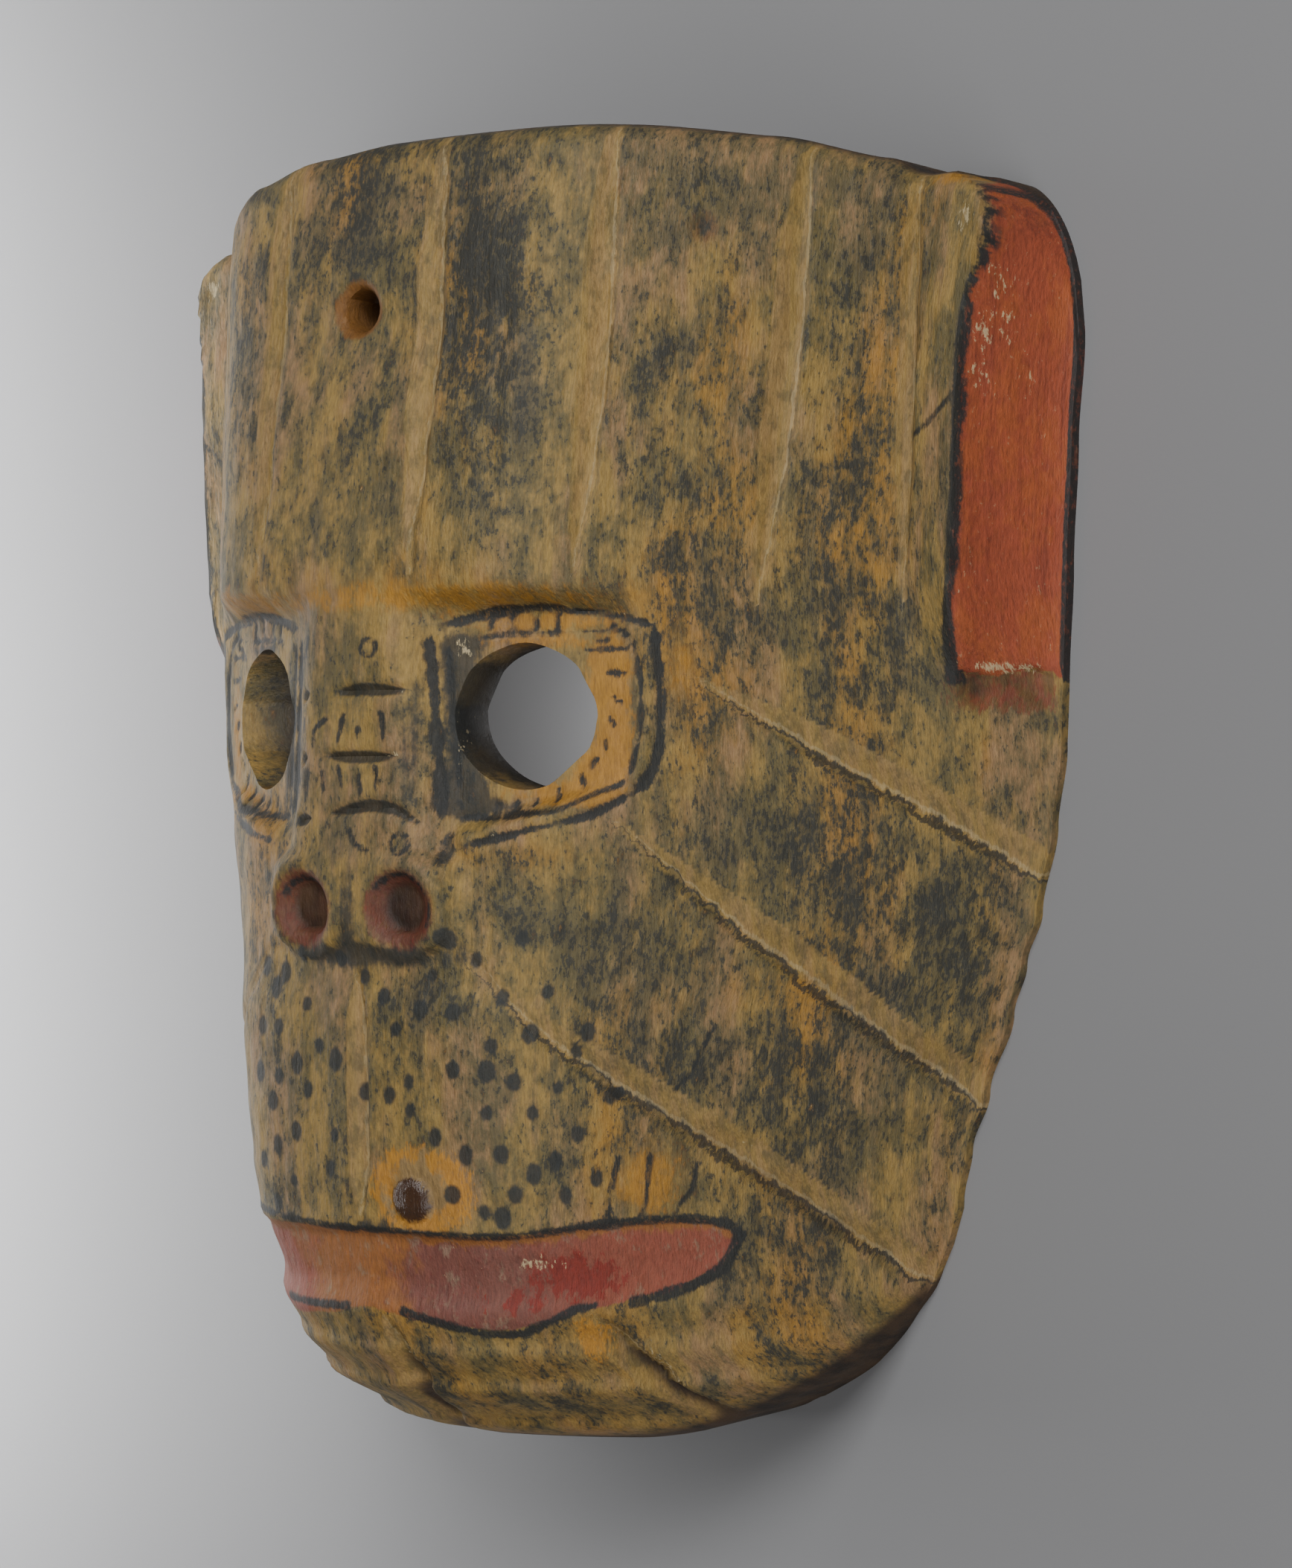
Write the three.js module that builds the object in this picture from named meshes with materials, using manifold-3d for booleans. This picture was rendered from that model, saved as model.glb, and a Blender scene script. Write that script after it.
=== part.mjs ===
// A carved wooden monkey mask, lying face up on the flat rim of its hollow back.
// Millimetres. X runs across the face, Y from chin to forehead, and Z out of it, with the rim at Z = 0.
// The origin is on the rim's plane, under the middle of the mask's box.

import * as THREE from "three";
import { mergeVertices } from "three/addons/utils/BufferGeometryUtils.js";
import Module from "manifold-3d";

// Driving sizes
const HEIGHT = 259;
const WIDTH = 216;
const DEPTH = 98;
const FACE_WALL = 9; // wood between the hollow and the plain front of the face
const RIM_WIDTH = 10; // flat band that the mask lies on, at the sides
const TOP_WALL = 12;
const CHIN_WALL = 13;
const RIM_EDGE = 2.5; // upright edge between the rim and the cheeks
const EYE_HOLE_WIDTH = 24.5;
const EYE_HOLE_HEIGHT = 28;
const CORD_HOLE_DIAMETER = 8.6;
const NOSTRIL_DIAMETER = 15;
const NOSTRIL_FLOOR_DIAMETER = 10;
const NOSTRIL_DEPTH = 4;

// The carving is drawn on a block of this size, and is stretched with the block to the driving sizes.
// Levels run from the chin at -132.5 to the crown at 126.5.
const BLOCK = { width: 216, height: 259, depth: 98, chin: -132.5, middle: -3 };
const SCALE = { x: WIDTH / BLOCK.width, y: HEIGHT / BLOCK.height, z: DEPTH / BLOCK.depth };

const smooth = THREE.MathUtils.smoothstep;

// A ramp that is 0 far below t = 0 and t far above it, rounded over a length r.
const ramp = (t, r) => (t + Math.hypot(t, r)) / 2;

// The smaller and the larger of a and b, rounded where they cross.
const lower = (a, b, r) => (a + b - Math.hypot(a - b, r)) / 2;
const upper = (a, b, r) => (a + b + Math.hypot(a - b, r)) / 2;

// A smooth curve through rows of [place, values...], read at a place.
function curveThrough(rows, column) {
  const last = rows.length - 1;
  const slope = (a, b) => (rows[b][column] - rows[a][column]) / (rows[b][0] - rows[a][0]);
  return (place) => {
    if (place <= rows[0][0]) return rows[0][column];
    if (place >= rows[last][0]) return rows[last][column];
    const i = rows.findIndex((row) => row[0] > place) - 1;
    const span = rows[i + 1][0] - rows[i][0];
    const t = (place - rows[i][0]) / span;
    const rise = t * t * (3 - 2 * t);
    const start = slope(Math.max(i - 1, 0), i + 1) - slope(i, i + 1);
    const end = slope(i, Math.min(i + 2, last)) - slope(i, i + 1);
    const bend = span * t * (1 - t) * ((1 - t) * start - t * end);
    return rows[i][column] * (1 - rise) + rows[i + 1][column] * rise + bend;
  };
}

// The plain face, a rounded wedge: level, how far its middle lies behind the nose, half its flat front,
// the rounding beside that, and half its width at the rim.
const FACE = [
  [-133, 45, 19, 24, 70],
  [-127, 32, 24, 24, 71.5],
  [-117, 17, 28, 20, 74.5],
  [-109, 10, 29, 17, 75.5],
  [-100, 6.5, 31, 15, 77.5],
  [-84, 4, 33, 12, 80.5],
  [-74, 3, 34, 12, 82.5],
  [-62, 2.5, 34.5, 12, 86.5],
  [-46, 2.5, 34.5, 12, 92],
  [-36, 3.5, 35.5, 14, 95],
  [-25, 4, 37, 16, 98.5],
  [-8, 4, 38.5, 16, 102],
  [8, 3, 39, 14, 104],
  [32, 1.5, 38.5, 13, 104.4],
  [42, 1, 38, 12, 104.4],
  [62, 3.5, 39.5, 12, 104.4],
  [94, 8.5, 42.5, 12, 104.4],
  [127, 13.5, 44, 12, 104.4],
];
const faceBack = curveThrough(FACE, 1);
const faceFlat = curveThrough(FACE, 2);
const faceRound = curveThrough(FACE, 3);
const faceHalf = curveThrough(FACE, 4);

function plainFace(x, y) {
  const flat = faceFlat(y);
  const round = faceRound(y);
  const across = (t) => ramp(t - flat, round) - ramp(-flat, round);
  return faceBack(y) + ((BLOCK.depth - faceBack(y)) * across(Math.abs(x))) / across(faceHalf(y));
}

// Under the brow the eyes are cut back to two slanting planes, down to a line that rises outwards.
const EYES = { x: 32.3, y: 12.9, brow: 38, browFoot: 32, lowInner: -13, lowRise: 0.32, edge: 5 };
const EYE_PLANE = { inner: 17, back: 6.7, slope: 0.526 };

function eyePlane(x, y) {
  const out = Math.abs(x) - EYE_PLANE.inner;
  const low = EYES.lowInner + EYES.lowRise * Math.max(out, 0);
  const share = (1 - smooth(y, EYES.browFoot, EYES.brow)) * smooth(y, low, low + EYES.edge);
  return { back: EYE_PLANE.back + EYE_PLANE.slope * out, share };
}

// The nose, from its tip to its root under the brow: level, distance behind its front, half width.
const NOSE = [
  [-33, 3.5, 17],
  [-29, 0.8, 19.5],
  [-24, 0, 20],
  [-17, 0, 19.5],
  [-11, 0.6, 15.5],
  [8, 1, 13],
  [30, 1.5, 12],
  [35, 2.5, 11],
];
const NOSE_SIDE = 1.75;
const noseBack = curveThrough(NOSE, 1);
const noseHalf = curveThrough(NOSE, 2);

function nose(x, y) {
  const beyond = Math.max(NOSE[0][0] - y, y - NOSE[NOSE.length - 1][0], 0);
  return noseBack(y) + NOSE_SIDE * (ramp(Math.abs(x) - noseHalf(y), 3) + 2 * beyond);
}

// Half the outline's width from the front, at a level.
const EAR_FLARE = [
  [0, 0],
  [20, 0.2],
  [43, 1.1],
  [67, 2.2],
  [88, 3.6],
];
const earFlare = curveThrough(EAR_FLARE, 1);
const outlineHalf = (y) => faceHalf(y) + earFlare(y);

// The outline's lower and upper edge, at a share of its half width from the middle.
const arc = (t) => 1 - Math.sqrt(1 - THREE.MathUtils.clamp(t, 0, 1) ** 2);
const CROWN = [
  [-1, 119.2],
  [-0.83, 118.6],
  [-0.785, 115.4],
  [-0.72, 116],
  [-0.6, 116.6],
  [-0.46, 119.4],
  [-0.35, 121.8],
  [-0.19, 124.9],
  [0, 126.3],
  [0.2, 126.5],
  [0.42, 126.5],
  [0.6, 125.5],
  [0.74, 122.5],
  [0.785, 120],
  [0.83, 119.9],
  [1, 119.4],
];
const crown = curveThrough(CROWN, 1);
const EAR_CORNER = { start: 0.86, height: 30 };
const CHIN_CORNER = { start: 0.33, height: 47 };
const cornerShare = (s, corner) => (Math.abs(s) - corner.start) / (1 - corner.start);
const lowerEdge = (s) => BLOCK.chin + CHIN_CORNER.height * arc(cornerShare(s, CHIN_CORNER));
const upperEdge = (s) => crown(s) - EAR_CORNER.height * arc(cornerShare(s, EAR_CORNER));

// Half the outline's width where the ear's corner bends in, at a level.
function edgeOut(y) {
  const fallen = THREE.MathUtils.clamp((crown(1) - y) / EAR_CORNER.height, 0, 1);
  const bend = Math.sqrt(1 - (1 - fallen) ** 2);
  return outlineHalf(y) * (EAR_CORNER.start + (1 - EAR_CORNER.start) * bend);
}

// Each ear is a ledge beside the temple, out to a crest. From there a scooped face falls to the rim.
// The crest: level, distance from the middle, height above the rim.
const EAR_CREST = [
  [16, 92, 28],
  [34, 94.2, 30.6],
  [52, 95.6, 31],
  [75, 96.4, 31.2],
  [90, 97.6, 30.6],
  [101, 99.2, 29.4],
  [108, 100.6, 28.6],
  [112, 100.2, 28],
  [115, 98.8, 27.6],
  [117.5, 96, 27.2],
  [119.5, 91.5, 27],
];
const EAR = { foot: 4, full: 38, fall: 0.1, scoop: 0.75, start: 78 };
const crestOut = curveThrough(EAR_CREST, 1);
const crestHeight = curveThrough(EAR_CREST, 2);

function ear(x, y) {
  const beyond = Math.abs(x) - crestOut(y);
  const t = Math.max(beyond / (edgeOut(y) - crestOut(y)), 0);
  const down = t + EAR.scoop * t * (1 - Math.min(t, 1));
  const face = crestHeight(y) - (crestHeight(y) - RIM_EDGE / SCALE.z) * down;
  return lower(crestHeight(y) + EAR.fall * beyond, face, 1);
}

// The mouth is a band, cut back under the upper lip: distance from the middle, its upper and lower edge.
const MOUTH = [
  [0, -86, -101.4],
  [14, -86.2, -103.8],
  [26, -86.4, -105],
  [32, -86, -103.6],
  [38, -85, -101.2],
  [46, -84.3, -99],
  [52, -84.6, -95.4],
  [56.5, -87.4, -89.4],
];
const MOUTH_DEPTH = 2.2;
const upperLip = curveThrough(MOUTH, 1);
const lowerLip = curveThrough(MOUTH, 2);

function mouth(x, y) {
  const out = Math.abs(x);
  const share = (upperLip(out) - y) / (upperLip(out) - lowerLip(out));
  const across = 1 - smooth(out, 50, 57);
  return MOUTH_DEPTH * smooth(share, -0.04, 0.1) * (1 - smooth(share, 0.55, 1.08)) * across;
}

// Height of the carved face above the rim.
function faceHeight(x, y) {
  const plain = plainFace(x, y);
  const eyes = eyePlane(x, y);
  const cut = plain + Math.max(eyes.back - plain, 0) * eyes.share;
  const carved = BLOCK.depth - lower(cut, nose(x, y), 2) - mouth(x, y);
  const raised = upper(carved, ear(x, y), 2) - carved;
  const beside = smooth(Math.abs(x), EAR.start, EAR.start + 6);
  return carved + raised * smooth(y, EAR.foot, EAR.full) * beside;
}

const EDGE_ROUND = { top: 6, chin: 9 };
const rounded = (distance, radius) => radius * arc(1 - distance / radius);

// A place on the carved block, moved to the mask's own size.
const place = (x, y, z) => new THREE.Vector3(x * SCALE.x, (y - BLOCK.middle) * SCALE.y, z * SCALE.z);

function outerPoint(s, v) {
  const low = lowerEdge(s);
  const high = upperEdge(s);
  const y = low + (high - low) * v;
  const x = s * outlineHalf(y);
  const worn = rounded(high - y, EDGE_ROUND.top) + rounded(y - low, EDGE_ROUND.chin);
  const z = faceHeight(x, y) - worn;
  const point = place(x, y, z);
  point.z = Math.max(point.z, RIM_EDGE);
  return point;
}

// The hollow is a smooth bowl behind the face.
const BOWL = { side: 1.6, ends: 6, endRound: 1 / 3 };

function hollowPoint(s, v) {
  const low = lowerEdge(s) + CHIN_WALL / SCALE.y;
  const high = upperEdge(s) - TOP_WALL / SCALE.y;
  const y = low + (high - low) * v;
  const x = s * (outlineHalf(y) - RIM_WIDTH / SCALE.x);
  const point = place(x, y, 0);
  const roof = (BLOCK.depth - faceBack(y)) * SCALE.z - FACE_WALL;
  const ends = (1 - Math.abs(2 * v - 1) ** BOWL.ends) ** BOWL.endRound;
  point.z = roof * (1 - Math.abs(s) ** BOWL.side) * ends;
  return point;
}

// A closed block under a grid of points, standing on a level floor.
function blockUnder(point, columns, rows, floor) {
  const across = columns.length;
  const top = rows.flatMap((v) => columns.map((s) => point(s, v)));
  const edge = [];
  for (let i = 0; i < across; i++) edge.push(i);
  for (let j = 1; j < rows.length; j++) edge.push(j * across + across - 1);
  for (let i = across - 2; i >= 0; i--) edge.push((rows.length - 1) * across + i);
  for (let j = rows.length - 2; j > 0; j--) edge.push(j * across);
  const foot = edge.map((i) => new THREE.Vector3(top[i].x, top[i].y, floor));
  const points = [...top, ...foot, new THREE.Vector3(0, 0, floor)];
  const faces = [];
  for (let j = 0; j + 1 < rows.length; j++) {
    for (let i = 0; i + 1 < across; i++) {
      const a = j * across + i;
      const [b, c, d] = [a + 1, a + across + 1, a + across];
      const rising = top[a].distanceTo(top[c]) < top[b].distanceTo(top[d]);
      faces.push(...(rising ? [a, b, c, a, c, d] : [a, b, d, b, c, d]));
    }
  }
  edge.forEach((a, n) => {
    const next = (n + 1) % edge.length;
    const c = top.length + n;
    const d = top.length + next;
    faces.push(a, c, d, a, d, edge[next], points.length - 1, d, c);
  });
  return new THREE.BufferGeometry().setFromPoints(points).setIndex(faces);
}

// A point on the face at a plan place, with the direction out of the wood there.
function onFace(x, y) {
  const step = 1.5;
  const at = (px, py) => place(px, py, faceHeight(px, py));
  const across = at(x + step, y).sub(at(x - step, y));
  const along = at(x, y + step).sub(at(x, y - step));
  return { point: at(x, y), out: across.cross(along).normalize() };
}

// A gouge is a V with its bottom nearer one side. It follows plan places [x, y] along the face.
const GOUGE_LIFT = 2.5;

function gouge(places, width, depth, steps, ends = [0.2, 0.25]) {
  const route = places.map(([x, y]) => new THREE.Vector3(x, y, 0));
  const path = new THREE.CatmullRomCurve3(route, false, "centripetal");
  const stations = path.getSpacedPoints(steps).map((p) => onFace(p.x, p.y));
  const points = [];
  stations.forEach(({ point, out }, i) => {
    const before = stations[Math.max(i - 1, 0)].point;
    const after = stations[Math.min(i + 1, steps)].point;
    const side = after.clone().sub(before).normalize().cross(out).normalize();
    const t = i / steps;
    const size = Math.max(Math.min(t / ends[0], (1 - t) / ends[1], 1), 0.15) ** 0.6;
    const half = (width / 2) * size * (1 + GOUGE_LIFT / depth);
    const top = point.clone().addScaledVector(out, GOUGE_LIFT);
    points.push(top.clone().addScaledVector(side, half));
    points.push(top.clone().addScaledVector(side, -half));
    points.push(point.clone().addScaledVector(out, -depth * size).addScaledVector(side, width * 0.1));
  });
  const faces = [0, 1, 2];
  for (let i = 0; i < steps; i++) {
    for (let k = 0; k < 3; k++) {
      const a = 3 * i + k;
      const b = 3 * i + ((k + 1) % 3);
      faces.push(a, b + 3, b, a, a + 3, b + 3);
    }
  }
  faces.push(3 * steps, 3 * steps + 2, 3 * steps + 1);
  return new THREE.BufferGeometry().setFromPoints(points).setIndex(faces);
}

// A round or oval hole along Z from a level above the rim, over a length, wider at its mouth if need be.
function hole(x, y, from, length, width, height, floorShare = 1) {
  const geometry = new THREE.CylinderGeometry(0.5, 0.5 * floorShare, 1, 24);
  geometry.rotateX(Math.PI / 2);
  geometry.scale(width, height, length);
  const centre = place(x, y, 0);
  return geometry.translate(centre.x, centre.y, from + length / 2);
}

const NOSTRIL = { x: 11.5, y: -24 };

// A cup that is as wide as the nostril where it meets the face, and narrows to its floor.
function nostril(side) {
  const width = 2 * NOSTRIL_DIAMETER - NOSTRIL_FLOOR_DIAMETER;
  const floorShare = NOSTRIL_FLOOR_DIAMETER / width;
  const floor = DEPTH - NOSTRIL_DEPTH;
  return hole(side * NOSTRIL.x, NOSTRIL.y, floor, 2 * NOSTRIL_DEPTH, width, width, floorShare);
}

const mirrored = (places) => places.map(([x, y]) => [-x, y]);

// Furrows down the forehead, from the crown to their pointed feet: plan places, width and depth.
const FURROWS = [
  [[[-26.5, 128], [-25.5, 80], [-24.5, 42]], 6, 1.6],
  [[[13.2, 128], [14, 80], [14.3, 41]], 6.5, 1.8],
  [[[47, 130], [46, 80], [44.2, 41]], 6.5, 2],
  [[[-49, 130], [-48, 80], [-46.5, 41]], 6.5, 2],
  [[[72, 128], [69.5, 80], [66.5, 35]], 7, 2],
  [[[-72, 128], [-69.5, 80], [-66.5, 35]], 7, 2],
];
const EAR_CREASE = [[85.6, 126], [85.2, 80], [84.3, 36]];
const CHEEK_GOUGES = [
  [[59.8, 19.5], [80.1, 2.3], [101.5, -18]],
  [[48.4, -7.5], [68.1, -34.3], [88, -65]],
  [[25, -33], [53.7, -65.3], [76, -100.5]],
];
const JAW_GOUGE = [[37.9, -104.5], [41.6, -116.1], [45.5, -130]];
const CHIN_GOUGE = [[3.9, -104], [3, -117], [-4, -134]];
const LIP_GOUGE = [[0.5, -37], [1, -60], [0.6, -84]];
const NOSE_CUTS = [
  [[-12, 17.4], [2, 18.4], [13.5, 17.6]],
  [[-12.5, 5.2], [0, 5.6], [13, 5.2]],
  [[-10, -5], [4, -5], [15, -7.6]],
];
const CORD_HOLE = { x: -3.7, y: 92.4 };

const wasm = await Module();
wasm.setup();

function toSolid(geometry) {
  const plain = geometry.clone();
  plain.deleteAttribute("normal");
  plain.deleteAttribute("uv");
  const merged = mergeVertices(plain, 1e-4);
  return new wasm.Manifold(
    new wasm.Mesh({
      numProp: 3,
      vertProperties: merged.attributes.position.array,
      triVerts: new Uint32Array(merged.index.array),
    }),
  );
}

function toGeometry(solid) {
  const { numProp, numVert, vertProperties, triVerts } = solid.getMesh();
  const positions = new Float32Array(numVert * 3);
  for (let i = 0; i < numVert; i++) {
    positions.set(vertProperties.subarray(i * numProp, i * numProp + 3), i * 3);
  }
  const geometry = new THREE.BufferGeometry();
  geometry.setAttribute("position", new THREE.BufferAttribute(positions, 3));
  geometry.setIndex(new THREE.BufferAttribute(triVerts, 1));
  geometry.computeVertexNormals();
  return geometry;
}

// Numbers from the first place to the last, with the step that each span names.
function steps(first, spans) {
  const list = [first];
  for (const [end, step] of spans) {
    const start = list[list.length - 1];
    const count = Math.max(Math.round(Math.abs(end - start) / step), 1);
    for (let i = 1; i <= count; i++) list.push(start + ((end - start) * i) / count);
  }
  return list;
}

// Columns and rows of the face, closer together where the carving is finer. The outer column is the edge.
const OUTER_COLUMN = 108;
const halfColumns = steps(0, [
  [10, 5],
  [19, 3],
  [40, 5.2],
  [85, 5],
  [91, 3],
  [101, 2],
  [OUTER_COLUMN, 3.5],
]);
const bothHalves = [...halfColumns.slice(1).reverse().map((x) => -x), ...halfColumns];
const columns = bothHalves.map((x) => x / OUTER_COLUMN);
const levels = steps(BLOCK.chin, [
  [-129, 1.7],
  [-112, 5.7],
  [-82, 3.8],
  [-38, 8.8],
  [-28, 3.4],
  [32, 6],
  [38, 3],
  [118, 11.4],
  [126.5, 2.9],
]);
const rows = levels.map((y) => (y - BLOCK.chin) / (levels[levels.length - 1] - BLOCK.chin));

function carve() {
  const cuts = [
    blockUnder(hollowPoint, steps(-1, [[1, 0.1]]), steps(0, [[1, 0.06]]), -5),
    hole(CORD_HOLE.x, CORD_HOLE.y, 0, 2 * DEPTH, CORD_HOLE_DIAMETER, CORD_HOLE_DIAMETER),
    ...FURROWS.map(([places, width, depth]) => gouge(places, width, depth, 6, [0.05, 0.35])),
    gouge(CHIN_GOUGE, 8, 3, 6, [0.3, 0.05]),
    gouge(JAW_GOUGE, 7.5, 2.6, 5, [0.3, 0.05]),
    gouge(LIP_GOUGE, 5, 1.8, 5),
    ...NOSE_CUTS.map((places) => gouge(places, 3.2, 1.3, 4)),
  ];
  for (const side of [1, -1]) {
    cuts.push(hole(side * EYES.x, EYES.y, 0, 2 * DEPTH, EYE_HOLE_WIDTH, EYE_HOLE_HEIGHT));
    cuts.push(nostril(side));
    const onSide = (places) => (side > 0 ? places : mirrored(places));
    cuts.push(gouge(onSide(EAR_CREASE), 6, 2, 6, [0.05, 0.3]));
    for (const places of CHEEK_GOUGES) cuts.push(gouge(onSide(places), 7.5, 2.6, 5, [0.3, 0.05]));
  }
  const block = toSolid(blockUnder(outerPoint, columns, rows, 0));
  return cuts.reduce((solid, cut) => solid.subtract(toSolid(cut)), block);
}

const wood = new THREE.MeshStandardMaterial({ color: 0x8c7243, roughness: 0.75, metalness: 0 });
const mask = new THREE.Mesh(toGeometry(carve()), wood);
mask.name = "mask";

const group = new THREE.Group();
group.add(mask);

export default group;
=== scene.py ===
import math

import bpy
import numpy as np
from mathutils import Matrix, Vector


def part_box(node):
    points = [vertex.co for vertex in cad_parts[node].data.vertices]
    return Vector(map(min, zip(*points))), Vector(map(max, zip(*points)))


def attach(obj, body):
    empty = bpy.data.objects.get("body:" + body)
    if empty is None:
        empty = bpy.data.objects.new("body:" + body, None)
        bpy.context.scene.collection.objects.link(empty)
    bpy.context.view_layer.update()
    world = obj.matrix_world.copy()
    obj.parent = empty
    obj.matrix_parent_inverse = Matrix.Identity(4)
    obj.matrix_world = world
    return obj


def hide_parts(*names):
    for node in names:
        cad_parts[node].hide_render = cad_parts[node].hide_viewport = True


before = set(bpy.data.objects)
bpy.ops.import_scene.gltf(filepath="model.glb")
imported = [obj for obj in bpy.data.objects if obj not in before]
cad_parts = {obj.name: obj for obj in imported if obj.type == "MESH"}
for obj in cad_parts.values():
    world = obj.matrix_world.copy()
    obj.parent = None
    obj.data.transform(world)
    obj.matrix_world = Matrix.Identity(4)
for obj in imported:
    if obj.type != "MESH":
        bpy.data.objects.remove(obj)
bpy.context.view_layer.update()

# A carved and painted wooden monkey mask, lying face up on its back rim.
# The face is worked out in millimetres on a block of the mask's size, and made in metres.
# Levels run from the chin at -132.5 to the crown at 126.5, and depths are measured from the rim.

MM = 0.001
BLOCK_WIDTH = 216
BLOCK_HEIGHT = 259
BLOCK_DEPTH = 98
BLOCK_CHIN = -132.5
BLOCK_MIDDLE = -3

low_corner, high_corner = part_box("mask")
mask_size = high_corner - low_corner
SCALE = np.array([
    mask_size.x / MM / BLOCK_WIDTH,
    mask_size.y / MM / BLOCK_HEIGHT,
    mask_size.z / MM / BLOCK_DEPTH,
])

FACE_WALL = 9
RIM_WIDTH = 10
TOP_WALL = 12
CHIN_WALL = 13
RIM_EDGE = 2.5
EYE_HOLE_WIDTH = 24.5
EYE_HOLE_HEIGHT = 28
CORD_HOLE_DIAMETER = 8.6
NOSTRIL_DIAMETER = 15
NOSTRIL_DEPTH = 4


# Helpers on arrays

def smooth(value, start, end):
    t = np.clip((value - start) / (end - start), 0, 1)
    return t * t * (3 - 2 * t)


def ramp(t, r):
    return (t + np.hypot(t, r)) / 2


def lower(a, b, r):
    return (a + b - np.hypot(a - b, r)) / 2


def upper(a, b, r):
    return (a + b + np.hypot(a - b, r)) / 2


def curve_through(rows, column):
    """A smooth curve through rows of [place, values...], read at places."""
    table = np.array(rows, float)
    at, values = table[:, 0], table[:, column]

    def slope(i, j):
        return (values[j] - values[i]) / (at[j] - at[i])

    def read(place):
        place = np.clip(place, at[0], at[-1])
        i = np.clip(np.searchsorted(at, place, side="right") - 1, 0, len(at) - 2)
        span = at[i + 1] - at[i]
        t = (place - at[i]) / span
        rise = t * t * (3 - 2 * t)
        start = slope(np.maximum(i - 1, 0), i + 1) - slope(i, i + 1)
        end = slope(i, np.minimum(i + 2, len(at) - 1)) - slope(i, i + 1)
        bend = span * t * (1 - t) * ((1 - t) * start - t * end)
        return values[i] * (1 - rise) + values[i + 1] * rise + bend

    return read


LATTICE = 128


def grain(seed, across, along, width, length):
    """Smooth noise from -1 to 1 whose spots are width by length, the same on each run."""
    lattice = np.random.default_rng(seed).uniform(-1, 1, (LATTICE, LATTICE))
    u, v = across / width, along / length
    i, j = np.floor(u).astype(int), np.floor(v).astype(int)
    s, t = u - i, v - j
    s, t = s * s * (3 - 2 * s), t * t * (3 - 2 * t)

    def at(di, dj):
        return lattice[(i + di) % LATTICE, (j + dj) % LATTICE]

    first = at(0, 0) * (1 - s) + at(1, 0) * s
    second = at(0, 1) * (1 - s) + at(1, 1) * s
    return first * (1 - t) + second * t


def waver(seed, along, length):
    """The same noise along one direction."""
    return grain(seed, along, 0 * along, length, 1)


# The plain face, a rounded wedge: level, how far its middle lies behind the nose, half its flat front,
# the rounding beside that, and half its width at the rim.
FACE = [
    [-133, 45, 19, 24, 70],
    [-127, 32, 24, 24, 71.5],
    [-117, 17, 28, 20, 74.5],
    [-109, 10, 29, 17, 75.5],
    [-100, 6.5, 31, 15, 77.5],
    [-84, 4, 33, 12, 80.5],
    [-74, 3, 34, 12, 82.5],
    [-62, 2.5, 34.5, 12, 86.5],
    [-46, 2.5, 34.5, 12, 92],
    [-36, 3.5, 35.5, 14, 95],
    [-25, 4, 37, 16, 98.5],
    [-8, 4, 38.5, 16, 102],
    [8, 3, 39, 14, 104],
    [32, 1.5, 38.5, 13, 104.4],
    [42, 1, 38, 12, 104.4],
    [62, 3.5, 39.5, 12, 104.4],
    [94, 8.5, 42.5, 12, 104.4],
    [127, 13.5, 44, 12, 104.4],
]
face_back = curve_through(FACE, 1)
face_flat = curve_through(FACE, 2)
face_round = curve_through(FACE, 3)
face_half = curve_through(FACE, 4)


def plain_face(x, y):
    flat, rounding = face_flat(y), face_round(y)

    def across(t):
        return ramp(t - flat, rounding) - ramp(-flat, rounding)

    return face_back(y) + (BLOCK_DEPTH - face_back(y)) * across(np.abs(x)) / across(face_half(y))


# Under the brow the eyes are cut back to two slanting planes, down to a line that rises outwards.
EYE_X, EYE_Y = 32.3, 12.9
BROW, BROW_FOOT = 38, 32
EYE_LOW, EYE_LOW_RISE, EYE_LOW_EDGE = -13, 0.32, 5
EYE_INNER, EYE_BACK, EYE_SLOPE = 17, 6.7, 0.526


def eye_plane(x, y):
    out = np.abs(x) - EYE_INNER
    low = EYE_LOW + EYE_LOW_RISE * np.maximum(out, 0)
    share = (1 - smooth(y, BROW_FOOT, BROW)) * smooth(y, low, low + EYE_LOW_EDGE)
    return EYE_BACK + EYE_SLOPE * out, share


# The nose, from its tip to its root under the brow: level, distance behind its front, half width.
NOSE = [
    [-33, 3.5, 17],
    [-29, 0.8, 19.5],
    [-24, 0, 20],
    [-17, 0, 19.5],
    [-11, 0.6, 15.5],
    [8, 1, 13],
    [30, 1.5, 12],
    [35, 2.5, 11],
]
NOSE_SIDE = 1.75
nose_back = curve_through(NOSE, 1)
nose_half = curve_through(NOSE, 2)


def nose(x, y):
    beyond = np.maximum(np.maximum(NOSE[0][0] - y, y - NOSE[-1][0]), 0)
    return nose_back(y) + NOSE_SIDE * (ramp(np.abs(x) - nose_half(y), 3) + 2 * beyond)


# The outline from the front: half its width at a level, and its lower and upper edge at a share of that.
EAR_FLARE = [
    [0, 0],
    [20, 0.2],
    [43, 1.1],
    [67, 2.2],
    [88, 3.6],
]
ear_flare = curve_through(EAR_FLARE, 1)


def outline_half(y):
    return face_half(y) + ear_flare(y)


def arc(t):
    return 1 - np.sqrt(1 - np.clip(t, 0, 1) ** 2)


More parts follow.
